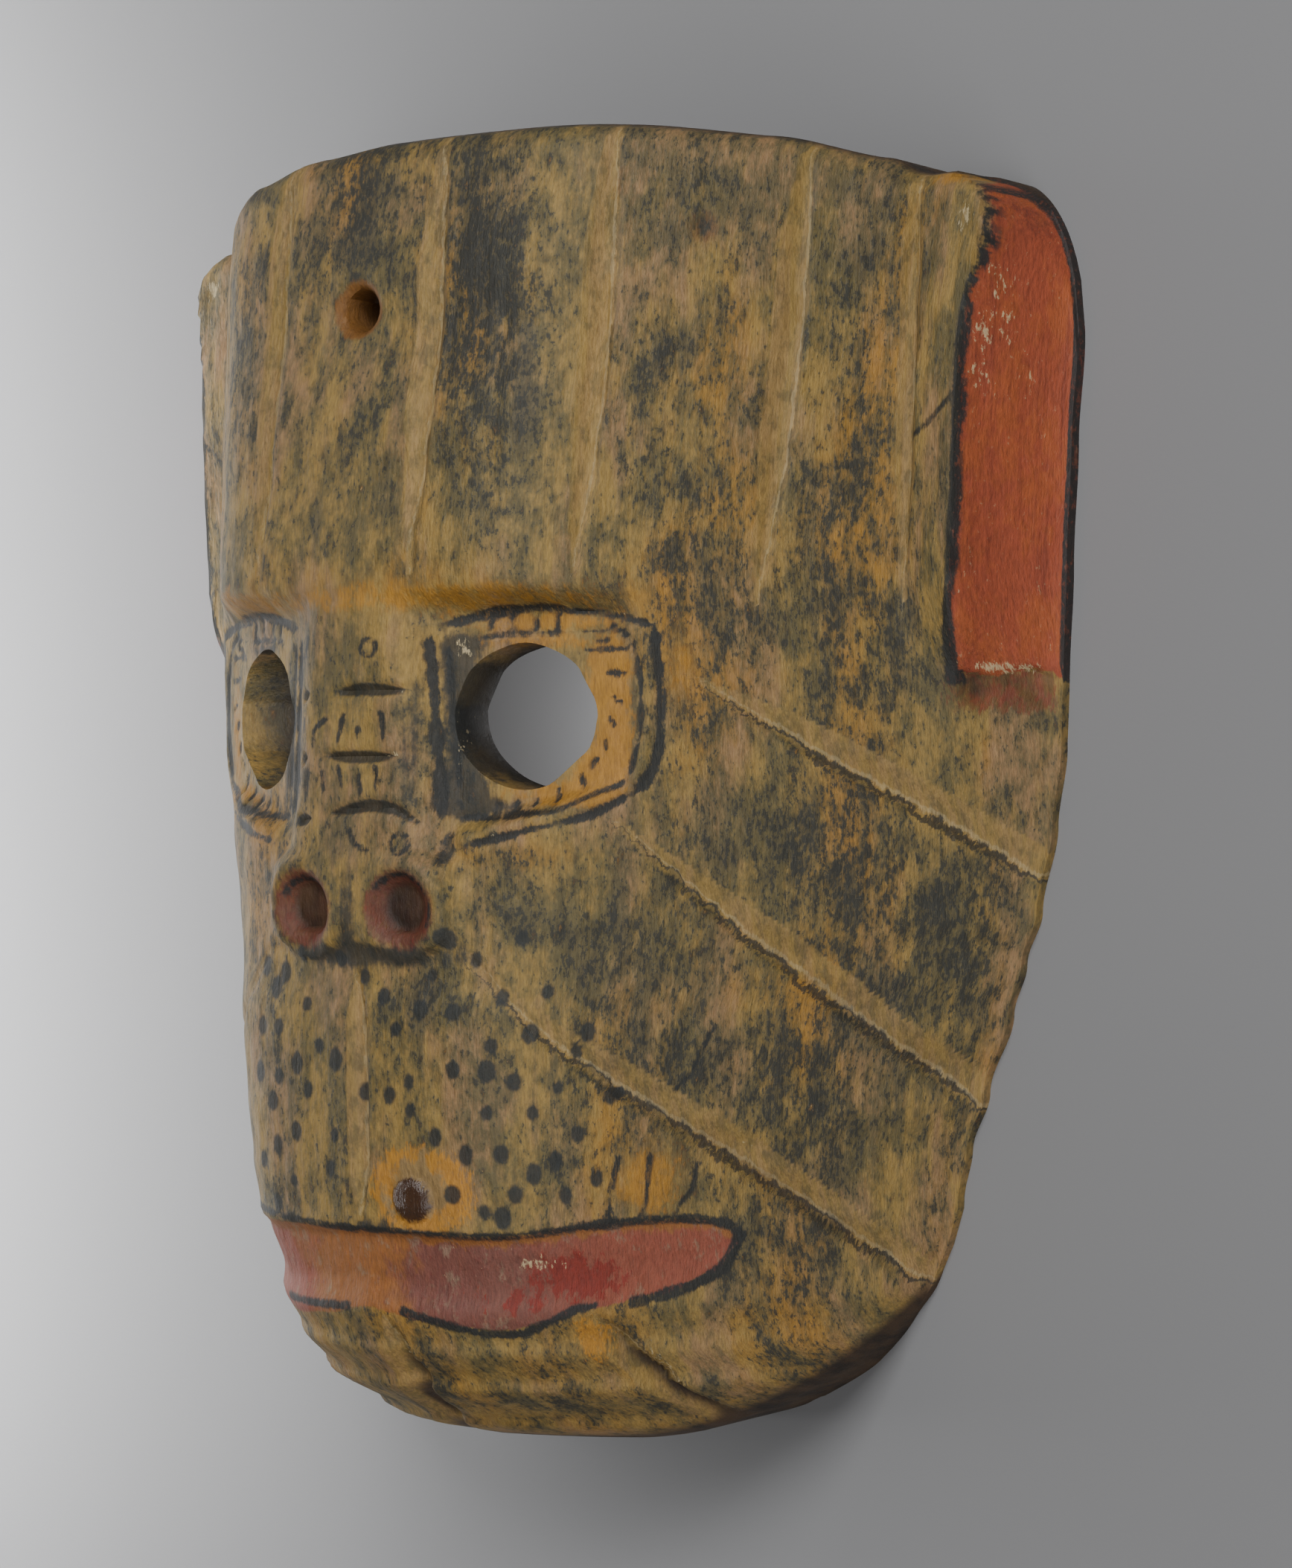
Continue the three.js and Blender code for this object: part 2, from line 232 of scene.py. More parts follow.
CROWN = [
    [-1, 119.2],
    [-0.83, 118.6],
    [-0.785, 115.4],
    [-0.72, 116],
    [-0.6, 116.6],
    [-0.46, 119.4],
    [-0.35, 121.8],
    [-0.19, 124.9],
    [0, 126.3],
    [0.2, 126.5],
    [0.42, 126.5],
    [0.6, 125.5],
    [0.74, 122.5],
    [0.785, 120],
    [0.83, 119.9],
    [1, 119.4],
]
crown = curve_through(CROWN, 1)
EAR_CORNER_START, EAR_CORNER_HEIGHT = 0.86, 30
CHIN_CORNER_START, CHIN_CORNER_HEIGHT = 0.33, 47
TOP_ROUND, CHIN_ROUND = 6, 9


def lower_edge(s):
    return BLOCK_CHIN + CHIN_CORNER_HEIGHT * arc((np.abs(s) - CHIN_CORNER_START) / (1 - CHIN_CORNER_START))


def upper_edge(s):
    return crown(s) - EAR_CORNER_HEIGHT * arc((np.abs(s) - EAR_CORNER_START) / (1 - EAR_CORNER_START))


def edge_out(y):
    """Half the outline's width where the ear's corner bends in."""
    fallen = np.clip((CROWN[-1][1] - y) / EAR_CORNER_HEIGHT, 0, 1)
    bend = np.sqrt(1 - (1 - fallen) ** 2)
    return outline_half(y) * (EAR_CORNER_START + (1 - EAR_CORNER_START) * bend)


def rounded(distance, radius):
    return radius * arc(1 - distance / radius)


# Each ear is a ledge beside the temple, out to a crest. From there a scooped face falls to the rim.
# The crest: level, distance from the middle, height above the rim.
EAR_CREST = [
    [16, 92, 28],
    [34, 94.2, 30.6],
    [52, 95.6, 31],
    [75, 96.4, 31.2],
    [90, 97.6, 30.6],
    [101, 99.2, 29.4],
    [108, 100.6, 28.6],
    [112, 100.2, 28],
    [115, 98.8, 27.6],
    [117.5, 96, 27.2],
    [119.5, 91.5, 27],
]
EAR_FOOT, EAR_FULL, EAR_FALL, EAR_SCOOP, EAR_START = 4, 38, 0.1, 0.75, 78
crest_out = curve_through(EAR_CREST, 1)
crest_height = curve_through(EAR_CREST, 2)


def ear_share(x, y):
    """How far past the crest a place is, and the same as a share of the way to the rim."""
    beyond = np.abs(x) - crest_out(y)
    return beyond, np.maximum(beyond / (edge_out(y) - crest_out(y)), 0)


def ear(x, y):
    beyond, t = ear_share(x, y)
    down = t + EAR_SCOOP * t * (1 - np.minimum(t, 1))
    face = crest_height(y) - (crest_height(y) - RIM_EDGE / SCALE[2]) * down
    return lower(crest_height(y) + EAR_FALL * beyond, face, 1)


# The mouth is a band, cut back under the upper lip: distance from the middle, its upper and lower edge.
MOUTH = [
    [0, -86, -101.4],
    [14, -86.2, -103.8],
    [26, -86.4, -105],
    [32, -86, -103.6],
    [38, -85, -101.2],
    [46, -84.3, -99],
    [52, -84.6, -95.4],
    [56.5, -87.4, -89.4],
]
MOUTH_DEPTH = 2.2
MOUTH_CORNER = 56
upper_lip = curve_through(MOUTH, 1)
lower_lip = curve_through(MOUTH, 2)


def mouth(x, y):
    out = np.abs(x)
    share = (upper_lip(out) - y) / (upper_lip(out) - lower_lip(out))
    across = 1 - smooth(out, 50, MOUTH_CORNER + 1)
    return MOUTH_DEPTH * smooth(share, -0.04, 0.1) * (1 - smooth(share, 0.55, 1.08)) * across


def face_height(x, y):
    plain = plain_face(x, y)
    back, share = eye_plane(x, y)
    cut = plain + np.maximum(back - plain, 0) * share
    carved = BLOCK_DEPTH - lower(cut, nose(x, y), 2) - mouth(x, y)
    raised = upper(carved, ear(x, y), 2) - carved
    beside = smooth(np.abs(x), EAR_START, EAR_START + 6)
    return carved + raised * smooth(y, EAR_FOOT, EAR_FULL) * beside


# Distances are taken on the unrolled face: the arc from its middle, and the level.
ARC_STEPS = 48


def unroll(x, y):
    x, y = np.asarray(x, float), np.asarray(y, float)
    total = np.zeros(np.broadcast(x, y).shape)
    before = plain_face(0 * x, y)
    for i in range(1, ARC_STEPS + 1):
        after = plain_face(x * i / ARC_STEPS, y)
        total += np.hypot(x / ARC_STEPS, after - before)
        before = after
    return np.sign(x) * total


def lay_out(places):
    """A smooth line through places."""
    places = np.array(places, float)
    if len(places) > 2:
        at = np.arange(len(places))
        fine = np.linspace(0, len(places) - 1, 6 * (len(places) - 1) + 1)
        places = np.stack([
            curve_through(np.stack([at, places[:, k]], 1), 1)(fine) for k in (0, 1)
        ], 1)
    return places


def beside_line(u, v, line):
    """Distance to a line, the share of its length there, and the side, -1 or 1."""
    lengths = np.hypot(*np.diff(line, axis=0).T)
    starts = np.concatenate([[0], np.cumsum(lengths)])
    near = np.full(u.shape, 1e9)
    share = np.zeros(u.shape)
    side = np.ones(u.shape)
    for a, b, length, start in zip(line, line[1:], lengths, starts):
        du, dv = (b - a) / length
        from_u, from_v = u - a[0], v - a[1]
        t = np.clip(from_u * du + from_v * dv, 0, length)
        distance = np.hypot(from_u - t * du, from_v - t * dv)
        closer = distance < near
        near = np.where(closer, distance, near)
        share = np.where(closer, (start + t) / starts[-1], share)
        side = np.where(closer, np.sign(from_u * dv - from_v * du), side)
    return near, share, side


class Place:
    """Where points lie on the unrolled face."""

    def __init__(self, x, y):
        self.x, self.y = x, y
        self.across = unroll(x, y)

    def along(self, places):
        line = lay_out(places)
        line[:, 0] = unroll(line[:, 0], line[:, 1])
        return beside_line(self.across, self.y, line)

    def spot(self, x, y, wide, tall):
        """Distance inside an oval, in millimetres of its narrow side."""
        centre = unroll(np.array([x]), np.array([y]))[0]
        reach = np.hypot((self.across - centre) / wide, (self.y - y) / tall)
        return (1 - reach) * min(wide, tall)


def mirrored(places):
    return [[-x, y] for x, y in places]


# The shares of a carved line's length that taper at its start and at its end.
BOTH_ENDS, CREASE_ENDS, LIP_ENDS = [0.3, 0.35], [0.3, 0.3], [0.2, 0.2]
RUNS_OUT, CHEEK_RUNS_OUT = [0.3, 0.05], [0.35, 0.05]
TAPER_LEAST, TAPER_POWER = 0.12, 0.6
# Carved lines: plan places, width, depth and ends. The side gouges are cut on both sides.
GOUGES = [
    ([[-26.5, 128], [-25.5, 80], [-24.5, 42]], 6, 1.3, BOTH_ENDS),
    ([[13.2, 128], [14, 80], [14.3, 41]], 6.5, 1.4, BOTH_ENDS),
    ([[47, 130], [46, 80], [44.2, 41]], 6.5, 1.5, BOTH_ENDS),
    ([[-49, 130], [-48, 80], [-46.5, 41]], 6.5, 1.5, BOTH_ENDS),
    ([[72, 128], [69.5, 80], [66.5, 35]], 7, 1.5, BOTH_ENDS),
    ([[-72, 128], [-69.5, 80], [-66.5, 35]], 7, 1.5, BOTH_ENDS),
    ([[3.9, -104], [3, -117], [-4, -134]], 8, 2.6, RUNS_OUT),
    ([[38.5, -103.5], [41.6, -116.1], [45.5, -130]], 8, 2, RUNS_OUT),
    ([[0.5, -37], [1, -60], [0.6, -84]], 5, 1.7, LIP_ENDS),
]
SIDE_GOUGES = [
    ([[85.6, 126], [85.2, 80], [84.3, 36]], 6, 1.4, CREASE_ENDS),
    ([[59.8, 19.5], [80.1, 2.3], [101.5, -18]], 7, 1.5, CHEEK_RUNS_OUT),
    ([[48.4, -7.5], [68.1, -34.3], [88, -65]], 7, 1.5, CHEEK_RUNS_OUT),
    ([[25, -33], [53.7, -65.3], [76, -100.5]], 7, 1.5, CHEEK_RUNS_OUT),
]
# Across a gouge, from -1 to 1, it slopes down over the first span and rises in a wall over the second.
SLOPE_SPAN, WALL_SPAN, WALL_PLACE = [-1.15, 0.5], [0.7, 1.05], 0.9
BARE_SPAN = [1.15, 0.9]
UPRIGHT_REACH = 10
# Distances for places that no line or shape comes near.
FAR_OUTSIDE, FAR_OFF = -9.0, 99.0


def is_upright(places):
    return abs(places[0][0] - places[-1][0]) < UPRIGHT_REACH


def gouge_cut(place, places, width, depth, ends):
    """How deep a gouge goes, how bare its floor is, how far off its steep wall is, and its size there."""
    near, share, side = place.along(places)
    size = np.clip(np.minimum(share / ends[0], (1 - share) / ends[1]), TAPER_LEAST, 1) ** TAPER_POWER
    half = width / 2 * size
    turned = is_upright(places) or places[-1][0] < places[0][0]
    off = near * (-side if turned else side)
    cut = depth * size * smooth(off / half, *SLOPE_SPAN) * (1 - smooth(off / half, *WALL_SPAN))
    return cut, smooth(near / half, *BARE_SPAN), off - half * WALL_PLACE, size


def gouges(place):
    """The cuts of all gouges together, their bare floors, the nearest steep wall, its size and its kind."""
    cut, bare, wall_size, upright = (np.zeros(place.x.shape) for _ in range(4))
    wall = np.full(place.x.shape, FAR_OFF)
    far_gouges = [(mirrored(places), *sizes) for places, *sizes in SIDE_GOUGES]
    for places, *sizes in GOUGES + SIDE_GOUGES + far_gouges:
        depth, floor, beside, size = gouge_cut(place, places, *sizes)
        cut += depth
        bare = np.maximum(bare, floor)
        nearer = np.abs(beside) < np.abs(wall)
        wall = np.where(nearer, beside, wall)
        wall_size = np.where(nearer, size, wall_size)
        upright = np.where(nearer, is_upright(places), upright)
    return cut, bare, wall, wall_size, upright


# Lens-shaped cuts across the nose, the near ones first.
NOSE_CUTS = [
    [[-3.5, 17.5], [3, 18.2], [12.5, 17.8]],
    [[-6, 5.6], [1, 5.2], [10.5, 5.2]],
    [[-4, -5.6], [5, -4.2], [11, -5], [15.5, -7.6]],
    [[-14, 17], [-11, 17.3]],
    [[-14, 4.6], [-11.5, 5.2]],
    [[-14.5, -7.4], [-10, -6.6]],
]
NOSE_CUT_HALF, NOSE_CUT_LEAST = 1.25, 0.1


def nose_cuts(place):
    """Distance inside the cuts across the nose."""
    inside = np.full(place.x.shape, FAR_OUTSIDE)
    for places in NOSE_CUTS:
        near, share, _ = place.along(places)
        lens = np.sqrt(np.clip(4 * share * (1 - share), NOSE_CUT_LEAST, 1))
        inside = np.maximum(inside, NOSE_CUT_HALF * lens - near)
    return inside


# Painted lines that frame an eye: plan places and half width.
EYE_LINES = [
    ([[18.2, 30.3], [24.2, 32], [30.2, 33.2], [36.4, 33.7], [41, 33], [47.2, 32.2], [54, 30.2]], 0.95),
    ([[54, 29.5], [54.4, 24], [54.6, 15], [54, 6], [52.6, 1.5], [50.4, -2]], 1.35),
    ([[50.4, 28], [51.7, 20.6], [51.9, 13.4], [51.4, 8], [49.8, 1]], 0.95),
    ([[20.4, -6.6], [27.8, -6.3], [34, -5.6], [40, -4.8], [44.8, -1.9], [49.8, 0.4]], 0.8),
    ([[24, -11.6], [32.3, -9.7], [38.1, -7.9], [44.7, -5.7], [50, -2.1]], 0.85),
    ([[15.9, 28.6], [16.9, 13.5], [18.2, -6.5]], 1.2),
    ([[19, 27], [19.9, 13.5], [21.2, -5.8]], 0.7),
    ([[24.6, 28], [29.7, 28.6], [34.8, 28.7], [38.5, 28.7]], 0.6),
    ([[38.5, 28.7], [45.9, 29.3], [49, 29.4]], 0.25),
    ([[46.5, 30.6], [50, 28]], 0.8),
]
EYE_TICKS = [
    [[26.2, 31.2], [26.6, 29.2]],
    [[30, 32.2], [30.3, 29.6]],
    [[34, 33], [34.2, 29.6]],
    [[37.6, 32.8], [38, 29.4]],
    [[44, 27], [46.8, 27.8]],
    [[42.4, 25.6], [49.8, 25.9]],
    [[46, 21.3], [49.6, 20.9]],
    [[47, 16.5], [49.2, 15.2]],
    [[46.5, 12.9], [47.7, 10.7]],
    [[45.7, 8.7], [46, 6.4]],
    [[44.6, 5.2], [43.4, 3]],
    [[41.7, 2], [42.4, -1.6]],
    [[37.8, -0.6], [38.8, -3.6]],
    [[33.9, -2.2], [34.8, -4.4]],
    [[30.7, -2.8], [31.4, -5]],
    [[27.9, -2.8], [27.8, -5.2]],
]
EYE_TICK_HALF = 0.7
# The line round the face of each ear. Past the crest, distances are laid out by how steep that face is.
EAR_STEEP = 2.4
EAR_LINE = [
    [91.2, 20.5], [92.4, 27], [94.6, 38], [96, 56], [96.9, 80], [98.4, 94],
    [100.2, 101], [101.4, 107], [100.6, 112], [97.6, 117], [93.2, 121.6],
]
EAR_LINE_HALF = 1.25
EAR_LINE_THINS = [104, 113]
EAR_TIP_THIN = 0.5
EAR_EDGE_LINE, EAR_EDGE_FOOT = 1.9, 19
EAR_BRANCH = [[86, 67.4], [89.5, 69.6], [92.6, 72.4], [95.4, 75]]
EAR_BRANCH_HALF = 0.55


def ear_spread(place):
    """Places on the ears, with the steep faces laid out flat."""
    beyond, _ = ear_share(place.x, place.y)
    return crest_out(place.y) + np.where(beyond > 0, EAR_STEEP * beyond, beyond)


def ear_lines(place):
    """Distance inside the lines round the ears: at the crest, along the edge and the branch before it."""
    spread = ear_spread(place)
    near, share, _ = beside_line(spread, place.y, lay_out(EAR_LINE))
    half = EAR_LINE_HALF * (1 + 0.18 * waver(57, 11 * share, 1))
    inside = half * (1 - EAR_TIP_THIN * smooth(place.y, *EAR_LINE_THINS)) - near
    rim = EAR_EDGE_LINE - EAR_STEEP * (edge_out(place.y) - np.abs(place.x))
    rim = np.minimum(rim, place.y - EAR_EDGE_FOOT - 2 * waver(58, spread, 2))
    near, _, _ = beside_line(spread, place.y, lay_out(EAR_BRANCH))
    return np.maximum(np.maximum(inside, rim), EAR_BRANCH_HALF - near)


def painted_lines(place):
    """Distance inside the black lines, which swell and thin like brush strokes."""
    inside = ear_lines(place)
    lines = []
    for turn in (list, mirrored):
        lines += [(turn(places), half) for places, half in EYE_LINES]
        lines += [(turn(places), EYE_TICK_HALF) for places in EYE_TICKS]
    for number, (places, half) in enumerate(lines):
        near, share, _ = place.along(places)
        swell = 1 + 0.35 * waver(40 + number, 9 * share, 1)
        tip = np.clip(np.minimum(share, 1 - share) / 0.04, 0.4, 1)
        inside = np.maximum(inside, half * swell * tip - near)
    return np.maximum(inside, np.maximum(mouth_lines(place), marks(place)))


# The line round the lips: plan places and half width.
LIP_LINES = [
    ([[-56.3, -87.5], [-45, -84.2], [-29.4, -84.6], [-18.2, -85.4], [-2, -86.2]], 0.95),
    ([[-2, -86.2], [5.9, -86], [15.5, -86.2], [25.2, -86.4], [33, -86.1], [39.9, -84.8]], 0.85),
    ([[39.9, -84.8], [45.8, -84.2], [51.4, -84.4], [55.4, -85.8], [56.8, -88.2]], 1.05),
    ([[56.4, -88], [53.8, -94.1], [49.1, -98.1], [43.4, -100.3]], 1.25),
    ([[39, -100.6], [36.6, -101.3], [33.9, -102.9], [28.2, -105.7], [22, -105.6], [8, -101.9]], 1.0),
    ([[-5.5, -101.7], [-16, -102.2], [-28, -102.3]], 1.0),
    ([[-36, -101.4], [-49.1, -98.1], [-53.8, -94.1], [-56.4, -88]], 1.1),
]


def mouth_lines(place):
    inside = np.full(place.x.shape, FAR_OUTSIDE)
    for number, (places, half) in enumerate(LIP_LINES):
        near, share, _ = place.along(places)
        swell = 1 + 0.22 * waver(90 + number, 8 * share, 1)
        inside = np.maximum(inside, half * swell - near)
    return inside


# Small painted marks: rings on the nose as place, reach across and along, then short strokes.
RINGS = [(5, 26.2, 1.9, 1.6), (12.2, -11.4, 1.9, 1.9), (20.1, -12.4, 0.9, 2.1)]
STROKES = [
    [[-12.6, 12.5], [-13, 8]],
    [[-5.5, 12.6], [-8.6, 10.5], [-9, 7]],
    [[-1.2, 13.2], [-2.6, 8]],
    [[2.4, 10.5], [2.2, 9]],
    [[8, 13.6], [8.6, 8.4]],
    [[-14.6, 1.5], [-14.8, -2.5]],
    [[-11, 2.5], [-11.2, -3]],
    [[-6.5, 2], [-6, -1.5]],
    [[-2.4, 3], [-1.6, -0.6]],
    [[2.6, 1.4], [3.2, -2]],
    [[6.6, 3.2], [7.2, -1]],
    [[-11.5, 28.4], [-12.5, 25.4], [-14.4, 25]],
    [[0.5, -9], [2, -11.5], [5, -12.8]],
    [[45.1, -71.5], [44, -77.1], [42.7, -84]],
    [[48.4, -71.5], [47.6, -78.9], [46.2, -84]],
    [[53.4, -73], [52.4, -78], [50.4, -82]],
    [[57.5, -47], [54.5, -55], [52, -59]],
]
RING_HALF, STROKE_HALF, STROKE_THINS = 0.6, 0.8, 0.3
# Arcs of black round the nostrils: centre, radius, and from which to which degree.
ARCS = [(12.2, -24, 6.7, -30, 150), (-11.6, -24.2, 6, 20, 160)]


def marks(place):
    """Distance inside the rings, strokes and arcs."""
    inside = np.full(place.x.shape, FAR_OUTSIDE)
    for x, y, wide, tall in RINGS:
        inside = np.maximum(inside, RING_HALF - np.abs(place.spot(x, y, wide, tall)))
    for places in STROKES:
        near, share, _ = place.along(places)
        inside = np.maximum(inside, STROKE_HALF - STROKE_THINS * share - near)
    for x, y, radius, start, end in ARCS:
        off_x, off_y = place.x - x, place.y - y
        middle = math.radians((start + end) / 2)
        turned = np.arctan2(off_y, off_x) - middle
        turned = np.abs(np.arctan2(np.sin(turned), np.cos(turned)))
        ends = (math.radians((end - start) / 2) - turned) * radius
        inside = np.maximum(inside, np.minimum(RING_HALF - np.abs(np.hypot(off_x, off_y) - radius), ends))
    return inside


# Black dots on the muzzle: a level and the places along it. Their sizes are drawn between limits.
DOTS = [
    [-30, 21, 34],
    [-33.5, -13.5, -3.6, 26],
    [-36.5, -26, -19.5, 2.2, 17.5],
    [-40, -22, 7, 31, 38],
    [-43.5, -12.5, 15.5, 22.5],
    [-47.5, -26, -20.5, 10, 35.5, 43],
    [-50.5, -9, 29.6, 41],
    [-54, -15, -4.5, 22.5, 28.8],
    [-57, -27, -20.5, 13, 33, 39],
    [-60, -12, 2, 8.5, 45],
    [-63, -22.5, 13.2, 28.5, 35.5],
    [-67.5, -15.5, -5, 18.5, 41],
    [-71, -21.5, 24.5, 30.5, 37.8],
    [-75, -27, -6.5, 35, 42.5],
    [-78.5, -17, 21.5, 32.2, 38.6],
    [-82, -23, 27, 29.8],
]


DOT_WIDTHS, DOT_STRETCH, DOT_SHIFT = [1.2, 1.9], [1.05, 1.45], [-0.8, 0.8]


def dots(place):
    """Distance inside the dots."""
    inside = np.full(place.x.shape, FAR_OUTSIDE)
    draw = np.random.default_rng(7)
    for level, *across in DOTS:
        for x in across:
            wide = draw.uniform(*DOT_WIDTHS)
            tall = wide * draw.uniform(*DOT_STRETCH)
            inside = np.maximum(inside, place.spot(x, level + draw.uniform(*DOT_SHIFT), wide, tall))
    return inside


# Soft clouds: place, reach across and along, strength. First the dark stain.
STAINS = [
    (-10, 108, 9, 16, 0.2), (27, 100, 9, 26, 0.42), (34, 66, 8, 18, 0.35), (3, 74, 5, 22, 0.25),
    (-35, 85, 8, 35, 0.1), (55, 112, 8, 12, 0.3), (56, 64, 9, 22, 0.22), (76, 100, 7, 22, 0.25),
    (2, 108, 8, 12, 0.3), (78, 56, 6, 18, 0.12), (62, 25, 12, 10, 0.18), (84, 22, 12, 14, 0.2),
    (70, -12, 18, 12, 0.38), (88, -26, 16, 14, 0.38), (47, -30, 14, 10, 0.35), (32, -22, 10, 8, 0.3),
    (66, -62, 14, 16, 0.3), (80, -48, 12, 14, 0.3), (54, -50, 12, 10, 0.25), (14, -42, 12, 8, 0.35),
    (-3, -62, 3, 14, 0.2), (36, -58, 9, 12, 0.12), (58, -92, 12, 10, 0.22), (24, -118, 18, 7, 0.08),
    (66, -120, 12, 10, 0.2), (-70, 20, 30, 60, 0.2), (-60, -60, 30, 40, 0.2), (-3, 126, 60, 4, 0.25),
]
YELLOWS = [
    (62, 82, 7, 12, 0.6), (64, 56, 6, 10, 0.4), (80, 62, 6, 22, 0.5), (84, 98, 4, 22, 0.3),
    (14, 80, 4, 30, 0.35), (14, 50, 4, 10, 0.3), (40, 35, 16, 4, 0.5), (5, 40, 26, 4, 0.45),
    (52, -24, 14, 6, 0.35), (40, -40, 20, 8, 0.25), (66, -38, 10, 8, 0.3), (50, -76, 6, 7, 0.4),
    (-10, 60, 14, 20, 0.2), (90, 110, 8, 8, 0.5), (-70, 60, 20, 40, 0.3), (-60, -20, 25, 30, 0.3),
    (34, -14, 14, 3, 0.4), (62, 12, 6, 14, 0.3),
]
# Thick ochre: round the eyes, under the brow, on the patches by the mouth and along the lips.
OCHRES = [
    (47.5, 12, 3.5, 12, 1.5), (48, -77, 6, 7, 1), (-48, -77, 6, 7, 0.5), (40, -2, 9, 2.6, 1.2),
    (36, 31, 12, 1.6, 0.9), (36, 36, 16, 3, 0.35), (34, 27.5, 9, 2, 0.9), (46, 22, 4, 6, 1.2),
    (45, 3, 5, 4, 1.2), (8, 34.5, 40, 2.6, 0.35), (8, 37, 18, 3, 0.5), (57.5, 22, 2.5, 8, 0.7),
    (-47.5, 12, 3.5, 12, 0.8), (-40, -2, 9, 2.6, 0.7), (-36, 36, 16, 3, 0.7), (20, -87.4, 9, 1, 1.1),
    (26, -102.6, 7, 1, 0.8), (92, 118, 7, 2, 0.9),
]
# Dark washes, thin and even, with few specks. The two at the nose tip's lower edge and the one at the upper
# lip's edge are painted shadow under those overhangs.
WASHES_AND_SHADOWS = [
    (13.4, 10, 2.4, 15, 0.7), (22, -1, 3.6, 6, 1.1), (20.5, 14, 2, 12, 0.8), (27, -4.4, 6, 1.6, 0.8),
    (21, 26, 3, 3, 0.7), (22, 12, 1.6, 14, 0.7), (20, 22, 3, 6, 0.6), (23, -1, 3, 3, 0.5),
    (-14.8, 8, 2.2, 14, 0.5), (-21, 4, 3, 14, 0.9), (10, -33, 16, 2.6, 0.9), (-10, -33, 10, 2.6, 0.5),
    (0.4, -24, 2, 8, 0.8), (0, -60, 2.2, 22, 0.6), (44, 3, 2, 3, 0.7), (33, 27, 9, 1.2, 0.8),
    (-33, 27, 9, 1.2, 0.8), (4, -85, 4, 2.4, 0.9), (97, 15.5, 9, 4, 0.5),
]
# Chipped and scratched places, where pale wood shows.
SCARS = [
    (103.4, 98, 2.2, 5, 0.7), (101, 88, 1.8, 5, 0.9), (105.5, 89, 1.6, 5, 0.7), (100, 78, 1.6, 5, 0.8),
    (109, 80, 1, 10, 0.7), (112, 62, 1, 8, 0.5), (97, 40, 0.8, 8, 0.6), (104, 23, 11, 1.6, 1),
    (96.5, 110, 1.3, 3, 1.2), (22, 26, 2, 3, 0.8), (20.6, 6, 0.7, 10, 0.6), (24, -9.6, 9, 0.8, 0.5),
    (26, -88.6, 16, 1.2, 0.5), (33, -92, 6, 1.5, 0.8), (18, -94, 9, 2.5, 0.4), (5.5, -112, 1, 9, 0.7),
    (43.6, -115, 1.4, 10, 0.8), (10, 5.6, 3, 1, 0.8), (10, 17.6, 3, 1, 0.7), (60, -70, 14, 1, 0.5),
]
CLOUD_WIDEN = 1.2


def clouds(across, level, table, lay=unroll):
    """The strengths of all clouds of a table together. The last argument lays out their places."""
    total = np.zeros(across.shape)
    for x, y, wide, tall, strength in table:
        centre = lay(np.array([x]), np.array([y]))[0]
        reach = ((across - centre) / (wide * CLOUD_WIDEN)) ** 2 + ((level - y) / tall) ** 2
        total += strength * np.exp(-reach)
    return total


def scars(place):
    on_face = [scar for scar in SCARS if scar[0] < EAR_START]
    on_ear = [scar for scar in SCARS if scar[0] >= EAR_START]
    plain = clouds(place.across, place.y, on_face)
    return plain + clouds(ear_spread(place), place.y, on_ear, lambda x, y: x)


# The red of an ear breaks off at a level, and faded red goes on below it over a spread of the ear's face.
BREAK_LEVEL, STUMP_LEVEL = 21.8, 14.5
STUMP_SPREAD = [91, 118]


def ear_foot(place):
    """The level at which the face of an ear breaks off, raggedly."""
    spread = ear_spread(place)
    return BREAK_LEVEL + 1.2 * waver(3, spread, 4) + 0.6 * waver(8, spread, 1.3)


def ear_red(place):
    """Distance inside the red of the ears."""
    near, _, side = beside_line(ear_spread(place), place.y, lay_out(EAR_LINE))
    return np.minimum(side * near, place.y - ear_foot(place))


def ear_stump(place):
    """Distance inside the faded red below the broken foot."""
    spread = ear_spread(place)
    lowest = STUMP_LEVEL + 1.5 * waver(9, spread, 3)
    below = np.minimum(ear_foot(place) - place.y, place.y - lowest)
    return np.minimum(below, np.minimum(spread - STUMP_SPREAD[0], STUMP_SPREAD[1] - spread) / 2)


def lips(place):
    """Distance inside the lips."""
    out = np.abs(place.x)
    band = np.minimum(upper_lip(out) - place.y, place.y - lower_lip(out))
    return np.minimum(band, MOUTH_CORNER - out)


# Ovals: place, reach across and along. Orange paint by the knot and under the lip, and red on the lip.
ORANGE_PATCHES = [(14.6, -78, 11, 8.6), (36.9, -107.2, 2.7, 4.2)]
RED_PATCHES = [(37.5, -95, 9, 5), (29, -99.4, 5, 2)]


def patches(place, ovals):
    """Distance inside the nearest of some ovals."""
    return np.max([place.spot(*oval) for oval in ovals], axis=0)


# Small things on the face: plan places, then sizes.
NOSTRILS = [(-11.6, -24.2), (12.2, -24)]
NOSTRIL_TALL, NOSTRIL_SLOPE, NOSTRIL_LIP = 1.05, 3.4, 0.6
CORD_HOLE = (-3.7, 92.4)
CORD_MOUTH_RADIUS, CORD_MOUTH_DEPTH, CORD_MOUTH_SLOPE = 6.1, 3, 3
NAIL_MARK = (59.6, 106.5)
NAIL_DEPTH, NAIL_TALL = 0.7, 1.6
KNOT = (12.6, -79.8)
KNOT_RADIUS, KNOT_HEIGHT = 4.4, 1.4


